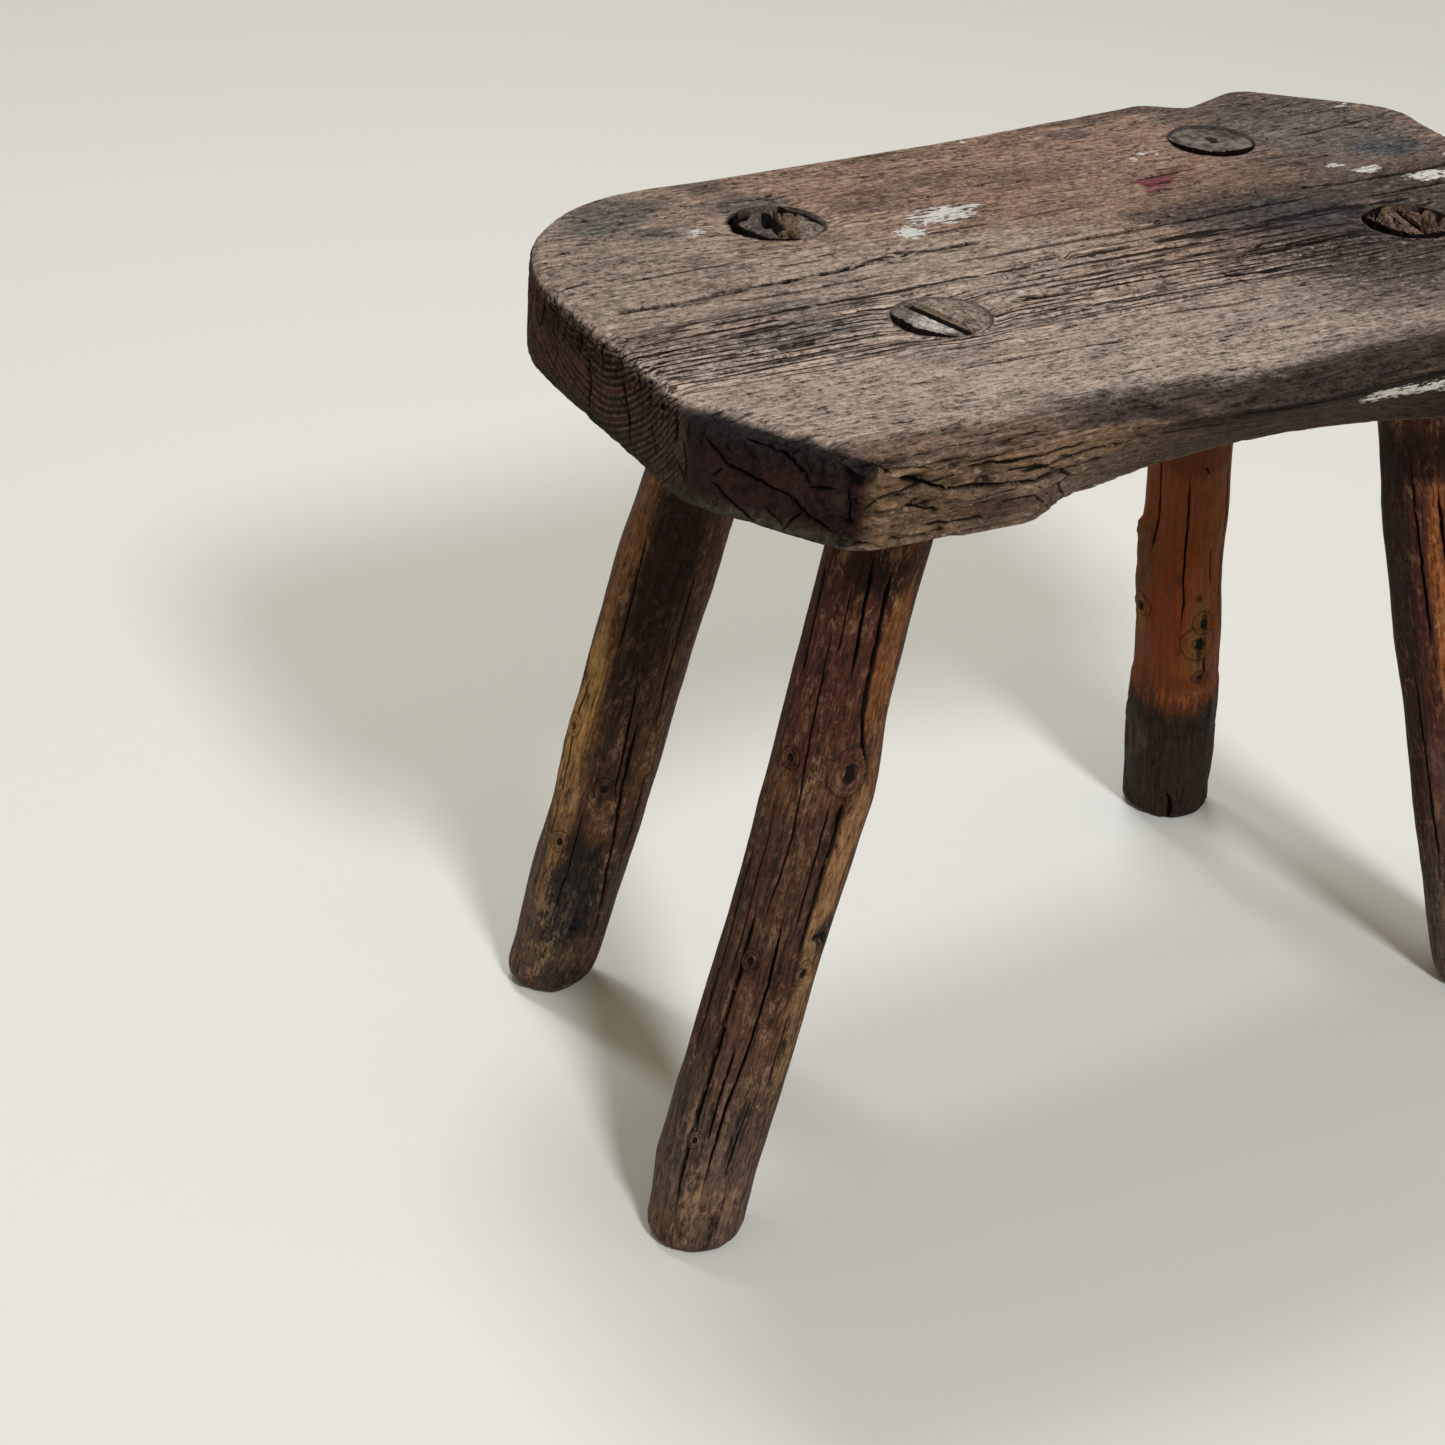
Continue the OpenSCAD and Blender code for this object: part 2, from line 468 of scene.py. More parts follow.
def make_piece(node, material, points, faces, grain, tint, floats, sharp=60):
    """A mesh object from millimetres, with the numbers and colours that its material reads."""
    name = node + "_wood"
    points = np.clip(points, np.array(cad_box[0]) / MM + 0.05, np.array(cad_box[1]) / MM - 0.05)
    mesh = bpy.data.meshes.new(name)
    mesh.vertices.add(len(points))
    mesh.vertices.foreach_set("co", (points * MM).astype(np.float32).ravel())
    mesh.loops.add(faces.size)
    mesh.loops.foreach_set("vertex_index", faces.astype(np.int32).ravel())
    mesh.polygons.add(len(faces))
    mesh.polygons.foreach_set("loop_start", np.arange(0, faces.size, 3, dtype=np.int32))
    mesh.update(calc_edges=True)
    mesh.polygons.foreach_set("use_smooth", np.ones(len(faces), bool))
    mesh.set_sharp_from_angle(angle=math.radians(sharp))
    rgba = np.concatenate([tint.rgb, np.ones((len(points), 1))], 1)
    attributes = [(key, "FLOAT", "value", value) for key, value in floats.items()]
    attributes += [("grain", "FLOAT_VECTOR", "vector", grain), ("tint", "FLOAT_COLOR", "color", rgba)]
    for key, kind, field, value in attributes:
        data = mesh.attributes.new(key, kind, "POINT").data
        data.foreach_set(field, value.astype(np.float32).ravel())
    mesh.materials.append(material)
    piece = bpy.data.objects.new(name, mesh)
    scene.collection.objects.link(piece)
    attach(piece, "root")
    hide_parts(node)


# ---------------------------------------------------------------- materials
class Value:
    """The output of a node, which adds, subtracts and multiplies like a number."""

    def __init__(self, nodes, socket):
        self.nodes, self.socket = nodes, socket

    def __add__(self, other):
        return self.nodes.math("ADD", self, other)

    def __sub__(self, other):
        return self.nodes.math("SUBTRACT", self, other)

    def __rsub__(self, other):
        return self.nodes.math("SUBTRACT", other, self)

    def __mul__(self, other):
        return self.nodes.math("MULTIPLY", self, other)

    def __pow__(self, other):
        return self.nodes.math("POWER", self, other)


class Nodes:
    """Short words for building a material's node tree."""

    def __init__(self, name):
        self.material = bpy.data.materials.new(name)
        self.material.use_nodes = True
        self.tree = self.material.node_tree
        self.shader = self.tree.nodes["Principled BSDF"]

    def put(self, socket, value):
        """Links a value to an input, or sets a plain number or colour on it."""
        if isinstance(value, Value):
            self.tree.links.new(value.socket, socket)
        else:
            socket.default_value = value

    def node(self, kind, output, inputs, **settings):
        """One output of a new node with these inputs and settings."""
        node = self.tree.nodes.new("ShaderNode" + kind)
        for key, setting in settings.items():
            setattr(node, key, setting)
        for key, value in inputs.items():
            self.put(node.inputs[key], value)
        return Value(self, node.outputs[output])

    def attribute(self, name, output="Fac"):
        """What the mesh's attribute says."""
        return self.node("Attribute", output, {}, attribute_name=name)

    def math(self, operation, a, b=0.0, clamp=False):
        """One sum, kept from 0 to 1 if clamp is set."""
        return self.node("Math", 0, {0: a, 1: b}, operation=operation, use_clamp=clamp)

    def step(self, value, low, high, to_low=0.0, to_high=1.0, kind="SMOOTHSTEP"):
        """Change from to_low to to_high while the value goes from low to high."""
        ranges = {"From Min": low, "From Max": high, "To Min": to_low, "To Max": to_high}
        return self.node("MapRange", "Result", {"Value": value, **ranges}, interpolation_type=kind)

    def noise(self, vector, stretch, detail, rough, twist=0.0):
        """Noise at the place given by the vector, times the three numbers of the stretch."""
        place = self.node("VectorMath", 0, {0: vector, 1: stretch}, operation="MULTIPLY")
        inputs = {"Vector": place, "Scale": 1.0, "Detail": detail, "Roughness": rough}
        return self.node("TexNoise", "Fac", {**inputs, "Distortion": twist})

    def mix(self, amount, a, b):
        """The colour a, turned into the colour b."""
        return self.node("Mix", 2, {0: amount, 6: a, 7: b}, data_type="RGBA")

    def blend(self, share, a, b):
        """The number a, turned into the number b."""
        return self.node("Mix", 0, {0: share, 2: a, 3: b})

    def scaled(self, colour, amount):
        """The colour, made lighter or darker."""
        return self.node("VectorMath", 0, {0: colour, "Scale": amount}, operation="SCALE")

    def bump(self, height, distance, strength):
        """The surface's direction, with the height on it as a fine relief."""
        inputs = {"Strength": strength, "Distance": distance, "Height": height}
        return self.node("Bump", "Normal", inputs)

    def cracked(self, colour, speck, dark):
        """The colour, painted dark as shade in the cracks, holes and gaps of the mesh."""
        gap = self.step(self.attribute("crack") + (speck - 0.5) * 0.35, 0.3, 0.75)
        return self.mix(gap * 0.95, colour, dark)

    def finish(self, colour, rough, normal, specular):
        """Gives the shader its looks, and returns the material."""
        self.put(self.shader.inputs["Base Color"], colour)
        self.put(self.shader.inputs["Roughness"], rough)
        self.put(self.shader.inputs["Normal"], normal)
        self.shader.inputs["Specular IOR Level"].default_value = specular
        return self.material


def rgb(r, g, b):
    """A colour for a socket, from 0 to 255 display numbers."""
    return (*linear(r, g, b).tolist(), 1.0)


def plank_material():
    """Weathered softwood, with its rings, fibres, dust, paint and cracks."""
    n = Nodes("weathered_plank")
    place = n.attribute("grain", "Vector")
    end, zone, paint = n.attribute("end_grain"), n.attribute("zone"), n.attribute("paint")
    fibre = n.noise(place, (0.06, 0.6, 0.6), 5, 0.7, 0.3)
    streak = n.noise(place, (0.015, 0.25, 0.25), 5, 0.62, 0.3)
    short = n.noise(place, (0.2, 0.62, 0.62), 4, 0.7, 0.7)
    grit = n.noise(place, (0.55, 0.7, 0.7), 3, 0.7, 0.6)
    speck = n.noise(place, (0.3, 0.42, 0.42), 8, 0.78)
    cloud = n.noise(place, (0.035, 0.07, 0.07), 4, 0.55)
    # The growth rings: their soft parts are worn down and dark, some more than others
    count = n.attribute("rings") + (fibre - 0.5) * 0.5
    wave = 0.5 - n.math("COSINE", n.math("FRACT", count) * (2 * math.pi)) * 0.5
    along_grain = n.node("SeparateXYZ", 0, {0: place})
    own = n.node("CombineXYZ", 0, {0: along_grain, 1: n.math("FLOOR", count)})
    own = n.step(n.noise(own, (0.03, 3.7, 1), 4, 0.65), 0.38, 0.62)
    ring_line = wave ** 3.6 * own * zone
    along = fibre * 0.45 + streak * 0.12 + short * 0.75 + grit * 0.75 + cloud * 0.15
    strong = n.step(along, 0.9, 1.29, 0.03, 2.65, "LINEAR")
    soft = n.step(along, 0.88, 1.31, 0.12, 2.3, "LINEAR")
    end_tone = n.step(speck + cloud * 0.4, 0.5, 0.9, 0.3, 1.8)
    tone = n.blend(end, n.blend(zone, soft, strong), end_tone)
    colour = n.scaled(n.attribute("tint", "Color"), tone)
    # Grey-white dust and raised fibres
    raised = n.step(short + grit * 0.9, 1.04, 1.16)
    raised = n.math("MULTIPLY", raised, n.attribute("pale"), True)
    colour = n.mix(raised * 0.7, colour, rgb(200, 184, 170))
    # On the ends the hard rings stand out pale against the old paint
    ridge = (1.0 - wave) ** 8.0 * n.step(speck, 0.36, 0.56)
    ridge = n.math("MULTIPLY", ridge, n.attribute("ridge"), True)
    colour = n.mix(ridge, colour, rgb(146, 126, 104))
    # Dark worn lines where the soft rings are sunk, dark with grime and with painted shade in the grooves
    rough_edge = ((fibre - 0.5) + (short - 0.5)) * -0.8
    line = n.step(n.attribute("relief") * 0.42 + ring_line * 0.85 + rough_edge, 0.24, 0.42)
    colour = n.mix(line * 0.94, colour, rgb(31, 23, 19))
    # Long thin checks along the grain
    thread = n.noise(place, (0.01, 0.27, 0.27), 3, 0.55)
    check = n.step(n.math("ABSOLUTE", thread - 0.5), 0.035, 0.012)
    check = check * n.step(streak + short * 0.7, 0.72, 0.9) * zone
    colour = n.mix(check * 0.88, colour, rgb(38, 28, 22))
    # Small dark slits between the fibres
    slit = n.step(short * 0.6 + fibre * 0.5, 0.45, 0.42) * (0.9 - end * 0.7)
    colour = n.mix(slit, colour, rgb(32, 24, 21))
    # Paint, broken up by the grain below it
    coat = paint + (short - 0.5) * 3.4 + (speck - 0.5) * 2.6 - line * 0.5
    coat = n.step(coat, 0.5, 0.55) * n.step(paint, 0.02, 0.12)
    colour = n.mix(coat, colour, rgb(238, 232, 222))
    colour = n.cracked(colour, speck, rgb(14, 10, 9))
    height = fibre * 0.8 + short * 1.2 + speck * 0.6 - ring_line * 0.5 - check * 0.5 + ridge * 0.3
    rough = n.step(streak + speck * 0.5, 0.5, 1.1, 0.62, 0.92)
    return n.finish(colour, rough, n.bump(height, 0.0022, 1.0), 0.08)


def pole_material(name, gloss):
    """Old round or split wood, dry and dirty, or clean and polished where a leg says so."""
    n = Nodes(name)
    place, clean = n.attribute("grain", "Vector"), n.attribute("clean")
    fibre = n.noise(place, (0.9, 0.9, 0.07), 4, 0.66, 0.2)
    streak = n.noise(place, (0.28, 0.28, 0.016), 5, 0.62, 0.4)
    speck = n.noise(place, (0.62, 0.62, 0.26), 4, 0.74, 0.4)
    blotch = n.noise(place, (0.13, 0.13, 0.06), 5, 0.62, 0.6)
    along = fibre * 0.8 + streak * 0.3 + speck * 0.75 + blotch * 0.3
    dry = n.step(along, 0.84, 1.32, 0.08, 2.35, "LINEAR")
    polished = n.step(along, 0.8, 1.38, 0.55, 1.45, "LINEAR")
    colour = n.scaled(n.attribute("tint", "Color"), n.blend(clean, dry, polished))
    tan = n.step(blotch * 0.6 + speck * 0.8, 0.72, 0.86)
    tan = n.math("MULTIPLY", tan, n.attribute("worn"), True)
    colour = n.mix(tan * 0.8, colour, rgb(152, 122, 88))
    grime = n.step(streak * 0.35 + blotch * 0.5 + speck * 0.6, 0.66, 0.56)
    colour = n.mix(grime * (0.75 - clean * 0.5), colour, rgb(34, 24, 20))
    line = n.step(n.attribute("relief") + (fibre - 0.5) * 2.4, 0.4, 0.95)
    colour = n.mix(line * 0.7, colour, rgb(30, 21, 17))
    colour = n.cracked(colour, speck, rgb(12, 8, 7))
    height = fibre + speck * 0.6 + streak * 0.6
    rough = n.step(blotch + speck * 0.4, 0.4, 0.95, gloss, gloss + 0.3)
    return n.finish(colour, rough, n.bump(height, 0.0012, 0.85), 0.12)


PLANK = plank_material()
POLE = pole_material("leg_wood", 0.5)
SPLIT = pole_material("wedge_wood", 0.65)


# ---------------------------------------------------------------- seat: its outline
def resampled(loop, spacing):
    """Points along the closed loop, as far apart as spacing(place) says, and their distance."""
    closed = np.concatenate([loop, loop[:1]])
    along = np.concatenate([[0], np.cumsum(np.linalg.norm(np.diff(closed, axis=0), axis=1))])
    fine = np.arange(0, along[-1], 0.1)
    place = np.stack([np.interp(fine, along, closed[:, k]) for k in (0, 1)], 1)
    steps = np.cumsum(0.1 / spacing(place))
    count = int(steps[-1])
    t = np.interp(np.arange(count) * steps[-1] / count, steps - steps[0], fine)
    return np.stack([np.interp(t, along, closed[:, k]) for k in (0, 1)], 1), t, along[-1]


back_start = int(np.argmin(np.abs(OUTLINE[:, 0]) + np.where(OUTLINE[:, 1] > 0, 0, 1e3)))
OUTLINE = np.roll(OUTLINE, -back_start, axis=0)


def rim_spacing(p):
    """Distance between the rim's points: small on the left end, wide at the back."""
    left = (p[:, 0] < -150) & (p[:, 1] < 80)
    return np.where(left, 0.8, np.where(p[:, 1] < -88, 1.25, 2.2))


RIM, RIM_T, RIM_LENGTH = resampled(OUTLINE, rim_spacing)
rim_ahead = np.roll(RIM, -1, axis=0) - np.roll(RIM, 1, axis=0)
for _ in range(3):
    rim_ahead = (np.roll(rim_ahead, 1, axis=0) + 2 * rim_ahead + np.roll(rim_ahead, -1, axis=0)) / 4
rim_ahead /= np.linalg.norm(rim_ahead, axis=1)[:, None]
RIM_IN = np.stack([-rim_ahead[:, 1], rim_ahead[:, 0]], 1)


def rim_at(t, table):
    """Interpolates a table of the rim's points at distances along the rim."""
    closed = np.concatenate([table, table[:1]])
    steps = np.append(RIM_T, RIM_LENGTH)
    return np.stack([np.interp(t % RIM_LENGTH, steps, closed[:, k]) for k in range(table.shape[1])], 1)


def rim_place(p):
    """Distance along the rim of the rim's point nearest to each place, and how far it is."""
    a, b = RIM, np.roll(RIM, -1, axis=0)
    gap = np.append(RIM_T[1:], RIM_LENGTH) - RIM_T
    t_all, d_all = np.zeros(len(p)), np.zeros(len(p))
    for start in range(0, len(p), 3000):
        q = p[start:start + 3000]
        ab = b - a
        k = np.clip(
            ((q[:, None, 0] - a[:, 0]) * ab[:, 0] + (q[:, None, 1] - a[:, 1]) * ab[:, 1])
            / np.sum(ab * ab, 1), 0, 1)
        dx = q[:, None, 0] - a[:, 0] - k * ab[:, 0]
        dy = q[:, None, 1] - a[:, 1] - k * ab[:, 1]
        d = dx * dx + dy * dy
        best = d.argmin(1)
        rows = np.arange(len(q))
        d_all[start:start + 3000] = np.sqrt(d[rows, best])
        t_all[start:start + 3000] = RIM_T[best] + k[rows, best] * gap[best]
    return t_all, d_all


def front_roll(p):
    """1 where the front edge is worn to a roll, 0 elsewhere."""
    return smooth(-95, -55, p[:, 0]) * smooth(-85, -100, p[:, 1]) * smooth(185, 150, p[:, 0])


def top_round(t):
    """How far the rounding of the top edge runs in, and how far down."""
    p = rim_at(t, RIM)
    roll = front_roll(p)
    uneven = noise(t / 22, 0.3, 0.7, 5, 3)
    left = smooth(-180, -190, p[:, 0]) * smooth(60, 30, p[:, 1])
    facet_part = smooth(-62, -72, p[:, 1]) * smooth(-158, -166, p[:, 0])
    front = smooth(-100, -112, p[:, 1]) * smooth(-165, -150, p[:, 0])
    run = 3.6 + 1.4 * uneven + 4.2 * left + 5.0 * facet_part + 8.5 * front * (1 - roll)
    run = run + (15 + 3 * uneven) * roll
    drop = 2.8 + 1.0 * uneven + 1.4 * left + 2.4 * facet_part + 4.2 * front * (1 - roll)
    drop = drop + (6.5 + 1.5 * uneven) * roll
    back = 1 - 0.62 * smooth(50, 75, p[:, 1])
    return np.maximum(run * back, 1.2), np.maximum(drop * back, 0.8)


# Radius of the rounding of the underside's edge
LOW_ROUND = 2.6
# Places with y below these belong to the front edge, and to the facet at its left end
FRONT_Y, FACET_Y = -85, -62


def front_edge_low():
    """The front of the underside's outline in the CAD, which shows the hollow in the edge."""
    low = [
        tuple(v.co / MM) for v in frame["nodes"]["seat_plank"].data.vertices
        if abs(v.co.z / MM - SEAT_LOW) < 0.01 and v.co.y / MM < FRONT_Y
    ]
    return np.array(sorted(set((round(p[0], 2), round(p[1], 2)) for p in low)))


FRONT_LOW = front_edge_low()
top_front = RIM[RIM[:, 1] < FRONT_Y]
top_front = top_front[np.argsort(top_front[:, 0])]


def hollow(x, h):
    """How far the front edge lies back at a depth h below the top."""
    low = np.interp(x, FRONT_LOW[:, 0], FRONT_LOW[:, 1])
    high = np.interp(x, top_front[:, 0], top_front[:, 1])
    full = np.maximum(low - high, 0) * smooth(-158, -140, x) * smooth(160, 135, x)
    start = 6.0 * smooth(-100, -60, x)
    share = np.clip((h - start) / (THICK - start), 0, 1)
    # A splintered step near the underside
    step = 1.6 * smooth(-96, -91, x) * smooth(-66, -88, x) * smooth(20, 25, h)
    return full * share ** 1.08 + step


def roll_over(d, run, drop):
    """Inset and fall of a top point that lies d inside the edge."""
    a = np.radians(45) * np.clip(1 - d / run, 0, 1)
    return np.where(d < run, run * (1 - np.sin(a)), d), drop * (1 - np.cos(a))


def roll_down(h, run, drop):
    """Inset and fall of a wall point that lies h below the edge."""
    a = np.radians(45) * (1 + np.clip(h / drop, 0, 1))
    return run * (1 - np.sin(a)), np.where(h < drop, drop * (1 - np.cos(a)), h)


# ---------------------------------------------------------------- seat: grain and cracks
def rise(x, y):
    """How much the lines of the grain have climbed at a place along the plank."""
    slope = 0.026 + 0.036 * np.exp(-((y - 8) / 24) ** 2)
    return slope * x + 1.1 * noise(x / 75, y / 60, 0.5, 3, 2) + 0.35 * noise(x / 22, y / 30, 2.5, 4, 2)


def across_grain(x, y):
    """The place across the grain of a point of the top, before the lines' climb."""
    w = y
    for _ in range(4):
        w = y - rise(x, w)
    return w


def unclimbed(places):
    """Places of the top, with the place across the grain for y."""
    return np.stack([places[:, 0], across_grain(places[:, 0], places[:, 1])], 1)


PITH = (4.0, 350.0)


def ring_count(x, w, z):
    """Number of growth rings between the tree's middle and a place, with its fraction."""
    rho = np.hypot(w - PITH[0], PITH[1] - z)
    count = -np.log(np.maximum(1 - rho * 0.0105 / 2.75, 0.05)) / 0.0105
    return count + 0.30 * noise(x / 60, w / 14, z / 14, 11, 2)


def rings(x, w, z):
    """How soft and worn the wood is: 0 on a hard ring, 1 in the middle of a soft one."""
    count = ring_count(x, w, z)
    ring = np.floor(count)
    part = count - ring
    soft = np.clip(0.5 - 0.5 * np.cos(2 * np.pi * part), 0, 1) ** 1.6
    own = 0.55 + 0.45 * lattice(ring.astype(np.int64), 0, 0, 9)
    broken = 0.62 + 0.75 * noise(x / 34, ring * 3.7, 0.5, 13, 3)
    return np.clip(soft * (0.35 + 0.65 * own) * broken * 1.25, 0, 1)


def fine_lines(x, w):
    """1 in the fine worn lines between the rings' own."""
    return smooth(0.12, 0.62, noise(x / 30, w / 1.15, 0.5, 19, 3, 0.6))


def top_zone(x, w):
    """How strongly the top is worn into lines."""
    strong = smooth(24, 6, w) * smooth(-105, -55, w)
    strong = strong * smooth(-70, -45, w) * (0.8 + 0.5 * noise(x / 55, w / 20, 0.5, 23, 2))
    faint = 0.28 * smooth(14, 30, w)
    edge = 0.32 * smooth(-50, -80, w)
    # Where the rings run level with the top they'd show as broad patches
    crossing = 0.1 + 0.9 * smooth(2, 9, np.abs(w - PITH[0]))
    return np.clip(np.maximum(np.maximum(strong, faint), edge), 0, 1) * crossing


def top_crack(points, width, depth, ends=(0.12, 0.12), seed=0):
    """A crack in the top through places given as x and y."""
    return Crack(unclimbed(np.array(points, float)), 1.2 * width, depth, ends=ends, seed=seed)


TOP_CRACKS = [
    top_crack(*row, seed=1 + k) for k, row in enumerate([
        ([(-184, 3.3), (-158, 4.5), (-120, 8), (-80, 11.5)], 2.2, 6.0, (0.05, 0.2)),
        ([(-78, 17), (-62, 14), (-40, 15)], 1.8, 4.0),
        ([(-68, 2), (-20, 4), (20, 5.5), (60, 8), (97, 9)], 1.7, 4.0),
        ([(-147, 1), (-139, -2), (-100, -0.5), (-84, 1)], 1.1, 2.5),
        ([(86, 19), (112, 16.5), (150, 18), (170, 21)], 2.1, 4.0), ([(-57, 26.5), (-30, 28)], 1.3, 2.5),
        ([(-22, 28), (12, 30.5)], 0.9, 1.8), ([(17, -39.5), (28, -40.5), (41, -41.5)], 2.2, 3.0),
        ([(-22, -59.5), (4, -61), (22, -60)], 1.2, 2.2),
        ([(62, -34.5), (80, -34.5), (98, -32.5)], 1.3, 2.5, (0.3, 0.02)),
        ([(-129, 51), (-115, 51)], 1.0, 2.0, (0.3, 0.02)),
        ([(-190, -15), (-176, -14.5), (-160, -12), (-128, -10)], 1.3, 2.5, (0.05, 0.3)),
        ([(-190, -30), (-174, -28), (-150, -25), (-131, -25)], 1.2, 2.2, (0.05, 0.3)),
        ([(-150, -38.5), (-133, -37.5)], 1.6, 2.0), ([(-180, -50), (-158, -47), (-120, -46)], 0.9, 1.8),
        ([(-66, -24), (-30, -23), (8, -22), (40, -20)], 1.1, 2.0),
        ([(-62, -33), (-20, -33.5), (14, -32)], 1.0, 1.8), ([(-40, -46), (0, -45.5), (36, -46)], 0.9, 1.5),
        ([(-58, -8), (-26, -6.5), (10, -6)], 1.0, 2.0), ([(24, -8.5), (60, -7), (92, -6)], 1.1, 2.2),
        ([(20, -27), (55, -26.5), (90, -25)], 1.0, 1.8), ([(-118, 18.5), (-100, 19)], 0.8, 1.5),
        ([(108, 2), (140, 4), (176, 8)], 1.3, 2.8), ([(40, 45), (70, 47)], 0.7, 1.2),
        ([(-174, 24), (-150, 25.5), (-128, 27)], 0.8, 1.4),
        ([(-110, -73), (-70, -72), (-40, -73)], 0.8, 1.2), ([(60, -62), (100, -61), (140, -60)], 1.0, 1.8),
        ([(120, 62), (150, 66), (176, 71)], 0.8, 1.5),
    ])
]

# Small torn pits in the top: place, size along and across the grain, depth
PITS = [
    (20, 11, 5, 3.2, 2.2), (26, 8, 3, 1.6, 1.8), (-22, -5, 3.2, 3.4, 2.0), (5, 22, 3, 1.4, 1.3),
    (12, 19, 3.5, 1.3, 1.4), (43, -22, 3, 1.4, 1.5), (55, -25, 2.5, 1.3, 1.2), (-74, 13, 4, 1.6, 1.5),
    (-73, 2, 4, 1.2, 1.3), (-12, -10, 4, 1.0, 1.2), (74, -9, 3.5, 1.2, 1.3), (-66, -38, 3, 1.6, 1.2),
    (30, 2, 4, 1.2, 1.4), (-94, 36, 3, 1.2, 1.0), (-135, -38, 5, 1.2, 1.2), (60, 70, 4, 1.3, 0.8),
    (100, -58, 5, 1.4, 1.2), (-30, -62, 3, 1.0, 0.8), (-14, -84, 4, 1.2, 0.8), (46, 24, 3, 1, 0.9),
]


def wall_crack(places, width, depth, **more):
    """A crack in the plank's edge through places given as x, y, z."""
    p = np.array(places, float)
    t, _ = rim_place(p[:, :2])
    return Crack(np.stack([t, SEAT_TOP - p[:, 2]], 1), width, depth, **more)


def left_end(y, z):
    """A place on the left end."""
    return (-195.5, y, z)


def facet(s, z):
    """A place on the slanted facet in front of the left end, s from its back edge."""
    return (-197 + 0.552 * s, -66 - 0.835 * s, z)


def inside_facet(x, y):
    """How far a place lies inside the slanted facet at the front of the left end."""
    return (x + 195.5) * 0.849 + (y + 69) * 0.529


def front(x, z):
    """A place on the front edge."""
    return (x, -121, z)


WALL_CRACKS = [
    wall_crack([left_end(y, z) for y, z in line], width, depth, jag=0.25, ends=(0.02, 0.3), seed=40 + k)
    for k, (line, width, depth) in enumerate([
        ([(30, 313), (33, 304), (37, 296)], 1.0, 2.5), ([(48, 303), (53, 293)], 0.8, 2.0),
        ([(13, 312), (15, 305), (17, 300)], 0.9, 2.2), ([(6, 312), (5, 301)], 0.7, 1.8),
        ([(-1, 303), (-4, 293), (-6, 285)], 1.3, 3.0), ([(-9, 313), (-11, 302)], 1.1, 2.5),
        ([(-20, 312), (-28, 299), (-35, 287)], 1.5, 3.5), ([(-33, 314), (-34, 310), (-35, 306)], 2.0, 3.0),
        ([(-61, 314), (-62, 307), (-62, 300)], 1.5, 3.0), ([(44, 309), (30, 300)], 0.5, 1.0),
        ([(-50, 312), (-52, 306)], 0.8, 1.5), ([(-64, 296), (-68, 291), (-66, 288)], 0.8, 1.5),
        ([(20, 297), (22, 289)], 0.5, 1.2), ([(-44, 300), (-52, 290)], 0.6, 1.4),
    ])
] + [
    wall_crack([facet(s, z) for s, z in line], width, depth, jag=0.4, ends=(0.1, 0.15), seed=60 + k)
    for k, (line, width, depth) in enumerate([
        ([(9, 308), (17, 301), (30, 298), (37, 297), (43, 293), (55, 288)], 1.3, 2.8),
        ([(22, 312), (37, 308.5), (41, 305), (46, 301), (54, 303)], 1.2, 2.5),
        ([(37.5, 309), (41, 313.5)], 0.9, 1.8), ([(42.5, 292.5), (38, 287), (36, 283.5)], 0.9, 2.0),
        ([(12, 295), (16.5, 299.5)], 0.7, 1.5), ([(12, 294), (20, 289), (28, 285)], 0.9, 1.6),
        ([(30, 291), (37.5, 286.5)], 0.6, 1.2), ([(56, 304), (57.5, 298), (57, 292)], 1.0, 1.5),
        ([(0, 304), (3, 297), (2, 290)], 0.9, 1.8),
    ])
] + [
    wall_crack([front(x, z) for x, z in line], width, depth, jag=0.3, seed=80 + k)
    for k, (line, width, depth) in enumerate([
        ([(-156, 314.5), (-157, 311.5), (-154.5, 309.5), (-156, 307.5)], 2.4, 4.0),
        ([(-155, 307), (-143, 303), (-135, 299.5), (-115, 297.5), (-95, 297.3), (-72, 297)], 1.5, 4.0),
        ([(-152, 310), (-146, 309.5), (-140, 307)], 0.8, 1.8), ([(-148, 296), (-136, 293)], 0.8, 1.5),
        ([(-128, 305), (-105, 305.5), (-84, 306)], 0.8, 1.4),
        ([(-112, 301), (-90, 302), (-66, 302)], 0.9, 1.6),
        ([(-36, 308), (-10, 306.5), (20, 305)], 1.2, 2.5), ([(-100, 292.5), (-80, 294)], 0.7, 1.2),
        ([(-60, 303), (-30, 303.5)], 0.8, 1.5), ([(24, 309), (60, 308), (96, 309)], 1.0, 2.0),
        ([(-142, 289), (-120, 287.5)], 0.8, 1.4), ([(84, 301), (120, 300)], 0.9, 1.8),
    ])
] + [
    wall_crack([(183, y, z) for y, z in line], 1.1, 2.4, jag=0.25, ends=(0.02, 0.3), seed=100 + k)
    for k, line in enumerate([
        [(-60, 313), (-52, 300)], [(-30, 312), (-25, 299), (-22, 292)], [(-2, 313), (-1, 296)],
        [(24, 312), (20, 300), (18, 290)], [(48, 311), (41, 299)],
    ])
] + [
    wall_crack([(x0, 110, z0), (x1, 110, z1)], 0.9, 1.8, seed=110 + k)
    for k, (x0, z0, x1, z1) in enumerate([
        (-110, 305, -40, 303), (-60, 296, -12, 294), (12, 307, 66, 305), (-150, 292, -104, 290),
        (20, 291, 76, 290),
    ])
]


# ---------------------------------------------------------------- seat: the mesh
TOP, WALL, BOTTOM, BORE = 0, 1, 2, 3
BORE_STEPS, BORE_ROWS, EDGE_ROWS = 108, 15, 27


def bore_loop(name, level, gap=0.0, every=1):
    """Points round a bore at that level, and that gap outside it."""
    angle = np.arange(0, BORE_STEPS, every) * 2 * np.pi / BORE_STEPS
    return AXES[name].at_level(angle, np.full(len(angle), BORE_R + gap), level)[:, :2]


